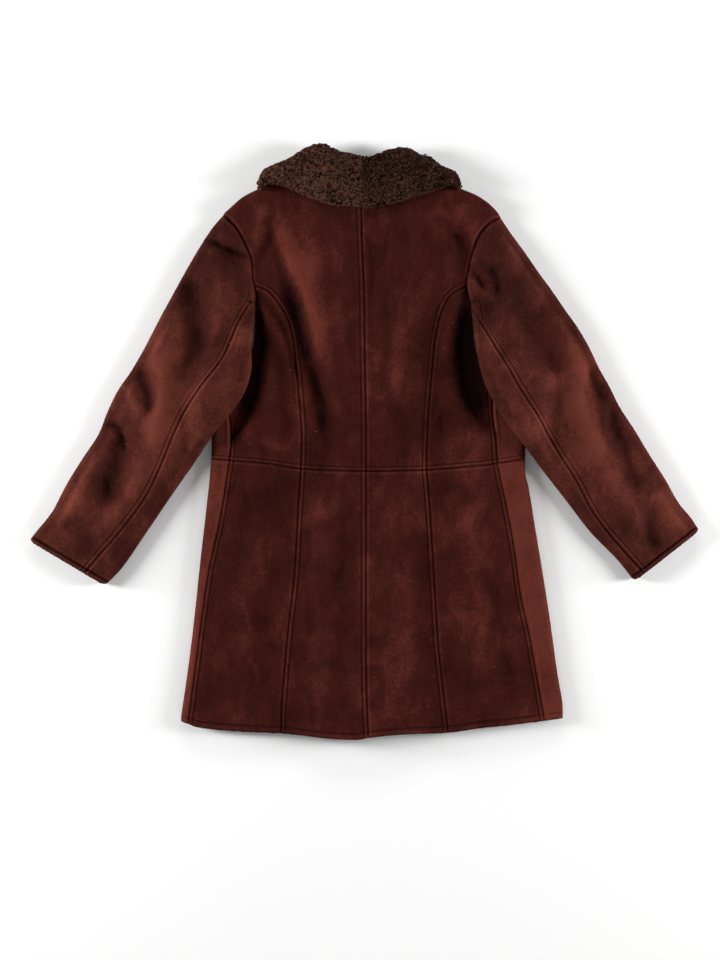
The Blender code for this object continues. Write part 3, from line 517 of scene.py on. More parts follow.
# ---- meshes -----------------------------------------------------------------------------
def spread(length, first=True, last=True, grid=None):
    """Shares of a length, close together at the ends that are seams."""
    grid = grid or GRID
    steps = np.array(EDGE_STEPS)
    begin = steps if first else np.array([0.0])
    end = length - steps[::-1] if last else np.array([length])
    free = end[0] - begin[-1]
    middle = np.linspace(begin[-1], end[0], max(int(round(free / grid)), 2) + 1)[1:-1]
    return np.concatenate([begin, middle, end]) / length


def closed_mesh(name, outer, inner, keep, tone):
    """A shell between two grids of points in millimetres. All but its top takes the second material."""
    rows, columns = outer.shape[:2]
    keep = np.ones((rows - 1, columns - 1), bool) if keep is None else keep
    count = rows * columns
    i, j = np.nonzero(keep)
    a = i * columns + j
    b, d = a + 1, a + columns
    c = d + 1
    top = np.column_stack([a, b, c, d])
    edge = np.concatenate([np.column_stack(e) for e in ((a, b), (b, c), (c, d), (d, a))])
    key = edge[:, 0] * count + edge[:, 1]
    back = edge[:, 1] * count + edge[:, 0]
    rim = edge[~np.isin(key, back)]
    wall = np.column_stack([rim[:, 1], rim[:, 0], rim[:, 0] + count, rim[:, 1] + count])
    faces = np.concatenate([top, top[:, ::-1] + count, wall])
    points = np.concatenate([outer.reshape(-1, 3), inner.reshape(-1, 3)]) * MM
    used, index = np.unique(faces, return_inverse=True)
    index = index.reshape(faces.shape)
    points = points[used]
    corner = points[index]
    normal = np.cross(corner[:, 2] - corner[:, 0], corner[:, 3] - corner[:, 1])
    if np.einsum("ij,ij->", corner.mean(axis=1) - points.mean(axis=0), normal) < 0:
        index = index[:, ::-1]
    area = np.linalg.norm(normal[: len(top)], axis=1).sum() / 2
    mesh = bpy.data.meshes.new(name)
    mesh.from_pydata(points.tolist(), [], index.tolist())
    slots = np.ones(len(faces), np.int32)
    slots[: len(top)] = 0
    mesh.polygons.foreach_set("material_index", slots)
    shade = np.zeros(2 * count)
    shade[:count] = tone.reshape(-1)
    layer = mesh.attributes.new("tone", "FLOAT", "POINT")
    layer.data.foreach_set("value", shade[used].astype(np.float32))
    mesh.shade_smooth()
    made = bpy.data.objects.new(name, mesh)
    bpy.context.collection.objects.link(made)
    return made, area


def joined(name, points, faces, finish, tone=None):
    """One object from stacked vertices (metres) and faces."""
    mesh = bpy.data.meshes.new(name)
    mesh.from_pydata(points.tolist(), [], faces)
    if tone is not None:
        layer = mesh.attributes.new("tone", "FLOAT", "POINT")
        layer.data.foreach_set("value", np.asarray(tone, np.float32))
    mesh.shade_smooth()
    mesh.materials.append(finish)
    made = bpy.data.objects.new(name, mesh)
    bpy.context.collection.objects.link(made)
    return made


def tube_faces(count, steps, ring):
    """Faces of so many closed tubes, each of this many rings."""
    index = np.arange(steps * ring).reshape(steps, ring)
    a, b = index[:-1], index[1:]
    quads = np.stack([a, np.roll(a, -1, 1), np.roll(b, -1, 1), b], axis=-1).reshape(-1, 4)
    offset = np.arange(count)[:, None, None] * steps * ring
    body = (quads[None] + offset).reshape(-1, 4)
    caps = np.concatenate([index[0][::-1][None] + offset[:, :, 0], index[-1][None] + offset[:, :, 0]])
    return body.tolist() + caps.tolist()


def finished(made, node, materials):
    """Gives a piece what it is made of, attaches it to the root and hides the CAD part that it stands for."""
    for finish in materials:
        made.data.materials.append(finish)
    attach(made, "root")
    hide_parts(node)


def patch(bottom, top, left, right, fade=1.0):
    """A plan grid between four edges: bottom and top run left to right, left and right run upwards.

    The higher fade is, the sooner the left edge's own curve dies out across the grid.
    """
    u = lengths(bottom) / lengths(bottom)[-1]
    w = lengths(top) / lengths(top)[-1]
    run_left = lengths(left) / lengths(left)[-1]
    run_right = lengths(right) / lengths(right)[-1]
    grid = np.zeros((len(left), len(bottom), 2))
    for i in range(len(left)):
        v = (run_left[i] + run_right[i]) / 2
        across = 1 - (1 - ((1 - v) * u + v * w)[:, None]) ** fade
        sides = (1 - across) * left[i] + across * right[i]
        ends = (1 - v) * bottom + v * top
        corners = ((1 - v) * ((1 - across) * bottom[0] + across * bottom[-1])
                   + v * ((1 - across) * top[0] + across * top[-1]))
        grid[i] = sides + ends - corners
    return grid


def inset(grid):
    """The plan grid pulled in by half a seam gap on every side."""
    grid = grid.copy()
    for edge, neighbour in ((grid[0], grid[1]), (grid[-1], grid[-2]),
                            (grid[:, 0], grid[:, 1]), (grid[:, -1], grid[:, -2])):
        way = neighbour - edge
        edge += way / (np.linalg.norm(way, axis=1)[:, None] + 1e-9) * SEAM / 2
    return grid


def between(line, x0, x1, count):
    """Points of a level line from x0 to x1."""
    x = np.linspace(x0, x1, count)
    return np.column_stack([x, at_x(line, x)])


def round_edge(edge_x, sign, count):
    """A body edge's roll, top to bottom, as outer and inner (x, z) rows."""
    turn = np.linspace(0, np.pi, count)
    inner = SIDE_RADIUS - WALL
    centre = edge_x - sign * SIDE_RADIUS
    return [(centre + sign * r * np.sin(turn), SIDE_RADIUS + r * np.cos(turn))
            for r in (SIDE_RADIUS, inner)]


def crossing(a, b, line):
    """The share of the way from a to b where a line crosses."""
    way = b - a
    for p, q in zip(line, line[1:]):
        step = q - p
        det = way[0] * step[1] - way[1] * step[0]
        if abs(det) < 1e-9:
            continue
        t = ((p[0] - a[0]) * step[1] - (p[1] - a[1]) * step[0]) / det
        s = ((p[0] - a[0]) * way[1] - (p[1] - a[1]) * way[0]) / det
        if -0.02 <= s <= 1.02 and 0 <= t <= 1:
            return t
    return None


# ---- the back's panels ------------------------------------------------------------------
def panel_surface(x, y, seams):
    """Top of the back, with its creases and seams, and the tone there: the seams' marks, painted shade in the
    troughs and painted light on the ridges, and patches of painted light and shade.
    """
    lift, tone = edges(x, y, seams)
    folds = 1.2 * creased(BACK_CREASES, x, y) + uneven(x, y)
    # patches of painted light and painted shade, with painted shadow at the armpits
    tone = tone + creased(BACK_PAINTED_SHADING, x, y)
    return back_top(x, y) + folds + lift, tone + FOLD_PAINTED_SHADING * np.clip(folds + fold(x, y) - 1.0, -8, 5)


def back_panel(node, plan, seams, rounding=None):
    plan = inset(plan)
    x, y = plan[..., 0], plan[..., 1]
    high, tone = panel_surface(x, y, seams)
    low = back_bottom(x, y)
    if rounding:
        high = high - SHOULDER_ROUND * (1 - inside_shoulder(rounding, x, y))
    high = np.maximum(high, low + LEAST_THICK)
    made, area = closed_mesh(node + "_suede", np.dstack([x, y, high]), np.dstack([x, y, low]), None, tone)
    finished(made, node, (SUEDE, FLEECE))
    return made, area


def seam_end(line, level, guess):
    """Where an upright seam meets a level line."""
    y = guess
    for _ in range(4):
        y = at_x(level, by_height(line, [y])[0, 0])
    return y


def back_upper(side):
    """The panel between the centre and the princess seam, from the waist to the shoulder and the neck."""
    armhole, princess = LINE["armhole", side], LINE["princess_upper", side]
    meet = share_of(armhole, princess[0])
    left_line = np.vstack([princess[::-1], part_of(armhole, meet, 0, 60)[1:]])
    shoulder, neck = LINE["shoulder", side], LINE["neck_back", side]
    top_line = np.vstack([shoulder, neck[1:]])
    left = along(left_line, spread(lengths(left_line)[-1]))
    top = along(top_line, spread(lengths(top_line)[-1]))
    levels = (left[:, 1] - left[0, 1]) / (left[-1, 1] - left[0, 1])
    middle_x = by_height(LINE["centre"], [seam_end(LINE["centre"], LINE["waist"], CENTRE_WAIST_Y)])[0, 0]
    run = between(LINE["waist"], princess[-1][0], middle_x, 80)
    bottom = part_shares(run, top)
    heights = bottom[-1, 1] + levels * (NECK_Y - bottom[-1, 1])
    plan = patch(bottom, top, left, by_height(LINE["centre"], heights))
    seams = [(LINE["centre"], STITCH_AT if side == "left" else None), (LINE["waist"], STITCH_AT),
             (princess, STITCH_AT), (armhole, None), (shoulder, 5.0)]
    return back_panel(f"back_upper_{side}", plan, seams, side)


def part_shares(run, like):
    """As many points along run as like has, close together at its ends."""
    shares = spread(lengths(run)[-1])
    if len(shares) == len(like):
        return along(run, shares)
    old = spread(lengths(like)[-1])
    near = len(EDGE_STEPS)
    steps = np.array(EDGE_STEPS) / lengths(run)[-1]
    middle = np.interp(np.linspace(0, 1, len(old) - 2 * near + 2), [0, 1], [steps[-1], 1 - steps[-1]])
    return along(run, np.concatenate([steps, middle[1:-1], 1 - steps[::-1]]))


def side_back_upper(side):
    """The panel between the princess and the side seam, from the waist to the armhole."""
    princess, armhole = LINE["princess_upper", side], LINE["armhole", side]
    start = share_of(armhole, princess[0])
    top_line = part_of(armhole, 1, start, 60)
    top = along(top_line, spread(lengths(top_line)[-1]))
    foot = seam_end(LINE["side", side], LINE["waist"], -28)
    rows = len(spread(lengths(princess)[-1]))
    right = along(princess[::-1], spread(lengths(princess)[-1]))
    side_run = by_height(LINE["side", side], np.linspace(foot, top[0, 1], 60))
    left = part_shares(side_run, right)
    bottom = part_shares(between(LINE["waist"], left[0, 0], right[0, 0], 60), top)
    plan = patch(bottom, top, left[:rows], right)
    seams = [(princess, None), (LINE["side", side], STITCH_AT), (LINE["waist"], STITCH_AT), (armhole, None)]
    return back_panel(f"side_back_upper_{side}", plan, seams)


def skirt_panel(node, left_line, right_line, seams):
    """A panel of the back between two upright seams, from the hem to the waist."""
    edges_of = []
    for line in (left_line, right_line):
        top_y = seam_end(line, LINE["waist"], -24.0)
        foot_y = seam_end(line, LINE["hem"], -440.0)
        edges_of.append(by_height(line, np.linspace(foot_y, top_y, 90)))
    left = along(edges_of[0], spread(lengths(edges_of[0])[-1]))
    right = part_shares(edges_of[1], left)
    top_run = between(LINE["waist"], left[-1, 0], right[-1, 0], 60)
    top = along(top_run, spread(lengths(top_run)[-1]))
    bottom = part_shares(between(LINE["hem"], left[0, 0], right[0, 0], 60), top)
    seams = seams + [(LINE["waist"], None), (LINE["hem"], HEM_STITCH_AT)]
    return back_panel(node, patch(bottom, top, left, right), seams)


# ---- the fronts -------------------------------------------------------------------------
ROLL = 13              # points round the body's side edge
FLAT = 4               # points between the side seam and that edge, past the ones near the seam
BEHIND = 22            # columns across a front, on the surface
LAP_COLUMNS = 10       # of the left front's, those from where it climbs to the last but one
CAP_ROWS = 44          # of a front's upper part, those up the armhole
SKIRT_LENGTH, FLANK_LENGTH = 425, 130   # of a front, from the waist down and from the waist up to the armhole


def front_columns(side, start):
    """Where a front's columns lie on the surface, from its rolled edge past the centre front."""
    fixed = np.array(CLIMB[side], float)
    if side == "left":
        fixed = np.concatenate([np.linspace(CLIMB[side][0], CLIMB[side][-2], LAP_COLUMNS),
                                [CLIMB[side][-1]]])
    return np.concatenate([np.linspace(start, fixed[0], BEHIND - len(fixed) + 1)[:-1], fixed])


def front_grid(side, ys_of, steps, keep_rows=None, upper_plan=None):
    """A front's outer and inner points, from the side seam on the back round the edge to the centre."""
    sign = SIGN[side]
    outer, inner = [], []
    for i, v in enumerate(steps):
        guess = ys_of(0.0, v)
        for _ in range(4):
            edge_x = by_height(LINE["edge", side], [guess])[0, 0]
            guess = ys_of(edge_x, v)
        seam_x = by_height(LINE["side", side], [guess])[0, 0]
        seam_x = by_height(LINE["side", side], [ys_of(seam_x, v)])[0, 0]
        (ox, oz), (ix, iz) = round_edge(edge_x, sign, ROLL)
        near = np.minimum(np.array(EDGE_STEPS), abs(ox[0] - seam_x) - 0.5)
        near = seam_x + sign * (SEAM / 2 + np.unique(near))
        near = np.concatenate([near, np.full(len(EDGE_STEPS) - len(near), near[-1])])
        top = np.concatenate([near, np.linspace(near[-1], ox[0], FLAT + 2)[1:-1]])
        if upper_plan is None:
            under = front_columns(side, ox[-1])
            under_y = np.array([ys_of(x, v) for x in under])
        else:
            under, under_y = upper_plan[i, :, 0], upper_plan[i, :, 1]
        under_z = front_bottom(side, under, under_y)
        x_out = np.concatenate([top, ox[:-1], under])
        x_in = np.concatenate([top, ix[:-1], under])
        across = x_out[: len(top) + ROLL - 1]
        y = np.concatenate([[ys_of(x, v) for x in across], under_y])
        z_out = np.concatenate([np.full(len(top), LAYER + WALL), oz[:-1], under_z])
        z_in = np.concatenate([np.full(len(top), LAYER), iz[:-1], under_z + WALL])
        outer.append(np.column_stack([x_out, y, z_out]))
        inner.append(np.column_stack([x_in, y, z_in]))
    outer, inner = np.array(outer), np.array(inner)
    keep = np.ones((outer.shape[0] - 1, outer.shape[1] - 1), bool)
    shown = len(EDGE_STEPS) + FLAT + ROLL - 1
    if keep_rows is not None:
        keep[keep_rows:, :shown] = False
    return outer, inner, keep, shown


def detail_front(side, outer, shown, seams, crease):
    """Presses the seams and creases into what shows of a front, and returns its tone."""
    x, y, z = (outer[:, :shown, k].copy() for k in range(3))
    lift, tone = edges(x, y, seams)
    share = np.clip(z / (LAYER + WALL), 0, 1)
    lift = lift + crease(x, y)
    outer[:, :shown, 2] += lift * share
    whole = np.zeros(outer.shape[:2])
    # worn nap and painted light, more of it higher up the roll
    whole[:, :shown] = (tone + EDGE_WEAR_AND_PAINTED_LIGHT[side]) * share
    return whole


def front_skirt(side):
    """A front below the waist. The grid's rows run from the waist down to the hem."""
    def height(x, v):
        y_top = at_x(LINE["waist"], x) - SEAM / 2
        return y_top + (at_x(LINE["hem"], x) - y_top) * v

    outer, inner, keep, shown = front_grid(side, height, spread(SKIRT_LENGTH))
    seams = [(LINE["side", side], None), (LINE["waist"], None), (LINE["hem"], HEM_STITCH_AT)]
    tone = detail_front(side, outer, shown, seams, uneven)
    made, area = closed_mesh(f"front_skirt_{side}_suede", outer, inner, keep, tone)
    finished(made, f"front_skirt_{side}", (SUEDE, FLEECE))
    return made, area


def front_upper(side):
    """A front above the waist: it shows below the armhole, and under the back it reaches the shoulder."""
    sign = SIGN[side]
    waist = LINE["waist"]
    turn_y = ARMHOLE_TURN[side][1]
    low_shares = spread(FLANK_LENGTH, grid=5.0)
    low_rows = len(low_shares)
    foot_y = at_x(waist, BODY_EDGE[side][2][0])
    edge_x = by_height(LINE["edge", side], foot_y + low_shares * (turn_y - foot_y))
    roll_start = edge_x - np.array([sign * SIDE_RADIUS, 0])
    roll_start[0, 1] = at_x(waist, roll_start[0, 0]) + SEAM / 2
    armhole = LINE["armhole", side][::-1]
    climb = np.vstack([roll_start[-1][None], armhole])
    outer_line = np.vstack([roll_start, part_of(climb, 0, 1, CAP_ROWS)[1:]])
    share = (outer_line[:, 1] - outer_line[0, 1]) / (outer_line[-1, 1] - outer_line[0, 1])
    neck = LINE["neck_front", side]
    beside_leaf = share_of(neck, (sign * LEAF_END, FRONT_NECK_Y))
    top = np.vstack([part_of(LINE["shoulder", side], 0, 1, 9),
                     part_of(neck, 0, beside_leaf, COLLAR_COLUMNS)[1:],
                     neck[-1:]])
    foot = at_x(waist, -sign * OVERLAP) + SEAM / 2
    centre = np.column_stack([np.full(len(share), -sign * OVERLAP), foot + share * (top[-1, 1] - foot)])
    columns = front_columns(side, roll_start[0, 0])
    bottom = np.column_stack([columns, at_x(waist, columns) + SEAM / 2])
    plan = patch(bottom, top, outer_line, centre, 2.5)
    trimmed = inset(plan)
    trimmed[:low_rows, 0] = plan[:low_rows, 0]

    def height(x, v):
        y0 = at_x(waist, x) + SEAM / 2
        y1 = turn_y if sign * x > sign * SIDE_SEAM[side][0][0] + 6 else SIDE_SEAM[side][0][1]
        return y0 + (y1 - SEAM - y0) * v

    rows = list(low_shares) + [1.0] * (len(share) - low_rows)
    outer, inner, keep, shown = front_grid(side, height, rows, low_rows - 1, trimmed)
    x, y = trimmed[..., 0], trimmed[..., 1]
    lifted = front_bottom(side, x, y) + (SHOULDER_ROUND - 0.5) * (1 - inside_shoulder(side, x, y))
    first = outer.shape[1] - trimmed.shape[1]
    outer[:, first:, 2] = lifted
    inner[:, first:, 2] = np.maximum(front_bottom(side, x, y) + WALL, lifted + 1.0)
    seams = [(LINE["side", side], None), (waist, STITCH_AT)]
    tone = detail_front(side, outer, shown, seams, lambda a, b: uneven(a, b) - 2.5)
    made, area = closed_mesh(f"front_upper_{side}_suede", outer, inner, keep, tone)
    finished(made, f"front_upper_{side}", (SUEDE, FLEECE))
    return made, area


# ---- the sleeves ------------------------------------------------------------------------
SLEEVE_LENGTH = 600    # about, for the spacing of its rows
SLEEVE_ROLL = 13       # points round a sleeve's edge, with both ends
CAP_SHARES = (0, 0.03, 0.07, 0.13, 0.2, 0.3, 0.42, 0.56, 0.7, 0.85, 1.0)   # of the cap, from the armhole


def sleeve_table(side, shares):
    """The sleeve's rows at these shares of its length, each one's place in the table, and the length."""
    table = np.array(SLEEVE_ROWS[side], float)
    dense = smooth(table, 12)
    place = np.linspace(0, len(table) - 1, len(dense))
    run = lengths((dense[:, :2] + dense[:, 2:]) / 2)
    at = shares * run[-1]
    rows = np.column_stack([np.interp(at, run, dense[:, k]) for k in range(4)])
    return rows, np.interp(at, run, place), run[-1]


def sleeve_outline(side):
    """A sleeve's outer edge, its inner edge and the line of its cuff."""
    table = smooth(np.array(SLEEVE_ROWS[side], float), 6)
    return table[:, :2], table[:, 2:], np.array([table[-1, :2], table[-1, 2:]])


def sleeve_top_z(side, x, y):
    """Top of a sleeve, with its fullness and creases."""
    outer_edge, inner_edge, cuff = sleeve_outline(side)
    from_edge = np.minimum(distance(outer_edge, x, y), distance(inner_edge, x, y))
    rise = np.clip((from_edge - 9) / 52, 0, 1)
    crown = SLEEVE_CROWN * rise * (2 - rise) * ease((distance(cuff, x, y) + 20) / 90)
    near_cap = ease((distance(LINE["armhole", side][:LOWER_HOLE], x, y) + 4) / 60)
    plain = sleeve_bottom(side, x, y) + sleeve_height(side, x, y) + crown * near_cap
    soft = ease((from_edge - 2) / 16)
    folds = SLEEVE_CREASE_GAIN * creased(SLEEVE_CREASES[side], x, y) * (0.35 + 0.65 * soft)
    return plain + (folds + 1.2 * uneven(x, y))


def sleeve_piece(side, piece):
    """A sleeve's top or under piece: what shows, the roll at its edge and a strip of the underside."""
    sign = SIGN[side]
    seam, cuff, cap = LINE["sleeve_seam", side], sleeve_outline(side)[2], LINE["armhole", side][:LOWER_HOLE]
    start = SEAM_START_ROW
    shares = spread(SLEEVE_LENGTH, grid=4.2)
    rows, place, length = sleeve_table(side, shares)
    if piece == "under":
        rows, shares, place = rows[place >= start], shares[place >= start], place[place >= start]
    outer, inner = [], []
    for row, share, k in zip(rows, shares, place):
        a, b = row[:2], row[2:]
        if k < start + 1:
            pull = CAP_REACH * ease(1 - k / 1.5) * np.array([-sign * 0.64, 0.77])
            a, b = a + pull, b + pull
            beyond = a + (b - a) * 1.2
            met = crossing(a, beyond, LINE["armhole", side])
            if met is not None and met > 0.6:
                b = a + (beyond - a) * met
        past_corner = max(CUFF_CORNER - (1 - share) * length, 0)
        turn_in = CUFF_CORNER - np.sqrt(max(CUFF_CORNER**2 - past_corner**2, 0))
        if turn_in > 0:
            shift = (b - a) * turn_in / np.linalg.norm(b - a)
            a, b = a + shift, b - shift
        width = np.linalg.norm(b - a)
        way = (b - a) / width
        full = width - SEAM
        least = 1 - LEAST_LAP / width
        found = crossing(a, b, seam) if k >= start - 0.01 else None
        back = least if found is None else min(found, least)
        lap = HIDDEN_LAP[0] + HIDDEN_LAP[1] * ease((k - start) / 5)
        hidden = 1 - lap / width if k >= start else max(least, 0.5)
        trim = -SEAM / width if piece == "top" else SEAM / width
        back = (max(back, LEAST_SHARE) + trim) * full
        hidden = (max(hidden, LEAST_SHARE) + 3 * trim) * full

        def under_of(w):
            """The sleeve's underside and thickness this far across the row."""
            p = a[:, None] + way[:, None] * np.atleast_1d(w)
            return sleeve_bottom(side, p[0], p[1]), sleeve_height(side, p[0], p[1])

        steps = np.array(EDGE_STEPS)
        if piece == "top":
            radius = under_of(0.0)[1][0] / 2
            centre, toward = radius, 1
            back = max(back, radius + 2.0)
            reach = min(steps[-1], (back - radius) * 0.6)
            cap_part = full - (full - back) * np.array(CAP_SHARES)
            body = np.concatenate([back - steps * reach / steps[-1],
                                   np.linspace(back - reach, radius, 26)[1:]])
            top_w = np.concatenate([cap_part, body[1:]])
            strip = radius + (hidden - radius) * np.linspace(0, 1, 12)
            low_w = np.concatenate([strip, [(hidden + full) / 2, full]])
        else:
            radius = under_of(full - 12.0)[1][0] / 2
            centre, toward = full - radius, -1
            reach = min(steps[-1], (centre - back) * 0.6)
            top_w = np.concatenate([back + steps * reach / steps[-1],
                                    np.linspace(back + reach, centre, 16)[1:]])
            low_w = np.linspace(centre, hidden, 9)
        base = under_of(centre)[0][0]
        turn = np.linspace(0, np.pi, SLEEVE_ROLL)[1:-1]
        p = a[:, None] + way[:, None] * top_w
        top_z = sleeve_top_z(side, p[0], p[1])
        roll_top = base + 2 * radius
        blend = ease(np.abs(top_w - centre) / 14)
        top_z = roll_top * (1 - blend) + top_z * blend
        out = [np.column_stack([top_w, top_z])]
        inn = [np.column_stack([top_w, top_z - WALL])]
        for r, into in ((radius, out), (radius - WALL, inn)):
            into.append(np.column_stack([centre - toward * r * np.sin(turn),
                                         base + radius + r * np.cos(turn)]))
        z = under_of(low_w)[0]
        out.append(np.column_stack([low_w, z]))
        inn.append(np.column_stack([low_w, z + WALL]))
        for pairs, into in ((np.vstack(out), outer), (np.vstack(inn), inner)):
            flat = a + way * pairs[:, :1]
            into.append(np.column_stack([flat, pairs[:, 1]]))
    outer, inner = np.array(outer), np.array(inner)
    keep = np.ones((outer.shape[0] - 1, outer.shape[1] - 1), bool)
    if piece == "top":
        after = place[:-1] >= start
        keep[after, : len(CAP_SHARES) - 1] = False
        keep[after, -2:] = False
    else:
        shift = outer[1] - outer[0]
        shift = shift / (np.linalg.norm(shift, axis=1)[:, None] + 1e-9) * SEAM
        outer[0] += shift
        inner[0] += shift
    top_count = outer.shape[1] - len(low_w)
    x, y = outer[:, :top_count, 0], outer[:, :top_count, 1]
    lift, tone = edges(x, y, [(seam, STITCH_AT if piece == "top" else None), (cuff, CUFF_STITCH_AT),
                              (cap, None)])
    share = np.clip((outer[:, :top_count, 2] - 4) / 12, 0, 1)
    outer[:, :top_count, 2] += lift * share
    from_cuff = distance(cuff, x, y)
    past_stitches = from_cuff - CUFF_STITCH_AT
    tone = (tone - 0.30 * ease((CUFF_STITCH_AT + 1 - from_cuff) / 2)
            - 0.45 * np.exp(-(past_stitches / 1.7) ** 2))
    outer[:, :top_count, 2] -= 1.7 * np.exp(-(past_stitches / 1.6) ** 2) * share
    # painted shade in the creases' troughs and painted light on their ridges
    painted_crease_shading = FOLD_PAINTED_SHADING * np.clip(1.3 * creased(SLEEVE_CREASES[side], x, y), -4.5, 6)
    # the sleeve's patches of painted light and painted shade
    painted_crease_shading += creased(SLEEVE_PAINTED_SHADING[side], x, y)
    whole = np.zeros(outer.shape[:2])
    whole[:, :top_count] = (tone + painted_crease_shading) * share
    node = f"sleeve_{piece}_{side}"
    made, area = closed_mesh(node + "_suede", outer, inner, keep, whole)
    finished(made, node, (SLEEVE_SUEDE_PAINTED_LIGHTER, FLEECE))
    return made, area


# ---- the collar -------------------------------------------------------------------------
FINE = 5               # finer than the CAD's stations by this much
# the left half's lighter and the right half's darker tone are painted light and painted shade
CURL = {"left": (3.1, 1.25, 1650, 0.10),
        "right": (2.5, 1.05, 1900, -0.16)}   # radius, thickness, count, tone
CURL_SEED = {"left": 17, "right": 29}
FRONT_CURLS = 7        # a front leaf shows so little that it has one in this many of those curls
RIM = 1.5              # thickness of the back collar at its edges
LEAF_RIM = 3           # and of a front leaf at its edge


def on_neck_of(seam):
    """1 for the points of the collar's seam on the neck, 0 for those on the shoulder."""
    station = np.linspace(0, COLLAR_COLUMNS - 1, len(seam))
    return ease((station - (SHOULDER_COLUMNS - 1)) / 2)


def quarter_round(t):
    """0 to 1 as a quarter circle, level at 0."""
    return (1 - np.sqrt(np.maximum(1 - t**2, 0)))[:, None]


def collar_outline(side, where):
    """The collar half's lower edge, neck seam and upper edge, with as many points each."""
    count = (COLLAR_COLUMNS - 1) * FINE + 1
    half = (SHOULDER_COLUMNS - 1) * FINE + 1
    shoulder, neck = LINE["shoulder", side], LINE["neck_" + where, side]
    if where == "back":
        edge = LINE["collar_edge"]
        middle = share_of(edge, COLLAR_MIDDLE)
        lower = part_of(edge, 0 if side == "left" else 1, middle, count)
        begin, end = share_of(shoulder, lower[0]), 1
        seam = np.vstack([part_of(shoulder, begin, 1, half), part_of(neck, 0, end, half)[1:]])
        lower[0, 1] = seam[0, 1] - 6
        upper = part_of(LINE["collar_top", side], 0, 1, count)
    else:
        lower = part_of(LINE["leaf_edge", side], 0, 1, count)
        begin = share_of(shoulder, COLLAR_TOP[side][0])
        end = share_of(neck, (SIGN[side] * LEAF_END, FRONT_NECK_Y))
        seam = np.vstack([part_of(shoulder, begin, 1, half), part_of(neck, 0, end, half)[1:]])
        upper = part_of(LINE["leaf_roll", side], 0, 1, count)
    out = upper - seam
    out /= np.linalg.norm(out, axis=1)[:, None] + 1e-9
    return lower, seam, upper, out


def collar_back(side):
    """The half of the collar that falls over the back, and its stand round the neck."""
    lower, seam, upper, out = collar_outline(side, "back")
    reach, seam_out = seam + out * STAND_GAP / 2, seam + out * STAND_GAP
    fall_t = np.concatenate([[0, 0.015, 0.035, 0.06, 0.09, 0.125], np.linspace(0.16, 1, 20)])
    stand_t = np.sin(np.linspace(0, np.pi / 2, 12))
    plan = np.array([lower + (reach - lower) * t for t in fall_t]
                    + [seam_out + (upper - seam_out) * t for t in stand_t])
    plan[:, -1, 0] += SIGN[side] * SEAM / 2
    x, y = plan[..., 0], plan[..., 1]
    rows = len(fall_t)
    fall = back_top(x, y) + REST * 1.7
    on_neck = on_neck_of(seam)
    stand = back_bottom(seam[:, 0], seam[:, 1]) * on_neck + SHOULDER_Z * (1 - on_neck)
    crown = back_top(seam[:, 0], seam[:, 1]) + REST + COLLAR
    low, high = fall.copy(), fall.copy()
    rolled = np.sqrt(1 - (1 - np.clip(fall_t / 0.10, 0, 1)) ** 2)
    bulge = 1.6 * np.exp(-((fall_t - 0.085) / 0.05) ** 2)
    high[:rows] += (RIM + (COLLAR - RIM) * rolled + bulge)[:, None]
    low[rows:] = stand
    middle_z = np.maximum((stand + crown) / 2 * on_neck + (SHOULDER_Z + RIM) * (1 - on_neck), stand + RIM)
    drop = quarter_round(stand_t)
    high[rows:] = crown - (crown - middle_z) * drop
    low[rows:] = stand + (np.minimum(middle_z - RIM, (stand + crown) / 2 - 1) - stand) * drop * on_neck
    return collar_half(f"collar_back_{side}", side, plan, high, low, fall_t, 1)


def collar_front(side):
    """The leaf of the collar under the coat, and the front of its stand."""
    lower, seam, upper, out = collar_outline(side, "front")
    reach, seam_out = seam + out * STAND_GAP / 3, seam + out * LEAF_GAP
    leaf_t = np.concatenate([[0, 0.02, 0.05, 0.09], np.linspace(0.14, 1, 14)])
    stand_t = np.sin(np.linspace(0, np.pi / 2, 10))
    plan = np.array([lower + (reach - lower) * t for t in leaf_t]
                    + [seam_out + (upper - seam_out) * t for t in stand_t])
    rows = len(leaf_t)
    low = np.zeros(plan.shape[:2])
    high = np.zeros(plan.shape[:2])
    rolled = np.sqrt(1 - (1 - np.clip(leaf_t / 0.08, 0, 1)) ** 2)
    high[:rows] = (LEAF_RIM + (COLLAR - LEAF_RIM) * rolled)[:, None]
    on_neck = on_neck_of(seam)
    rim = (COLLAR + LAYER) * on_neck + (SHOULDER_Z - SEAM) * (1 - on_neck)
    drop = quarter_round(stand_t)
    high[rows:] = rim - rim * 0.4 * drop * on_neck
    low[rows:] = rim * 0.5 * drop * on_neck + (SHOULDER_Z - 2.5) * drop * (1 - on_neck)
    return collar_half(f"collar_front_{side}", side, plan, high, low, leaf_t, 0)


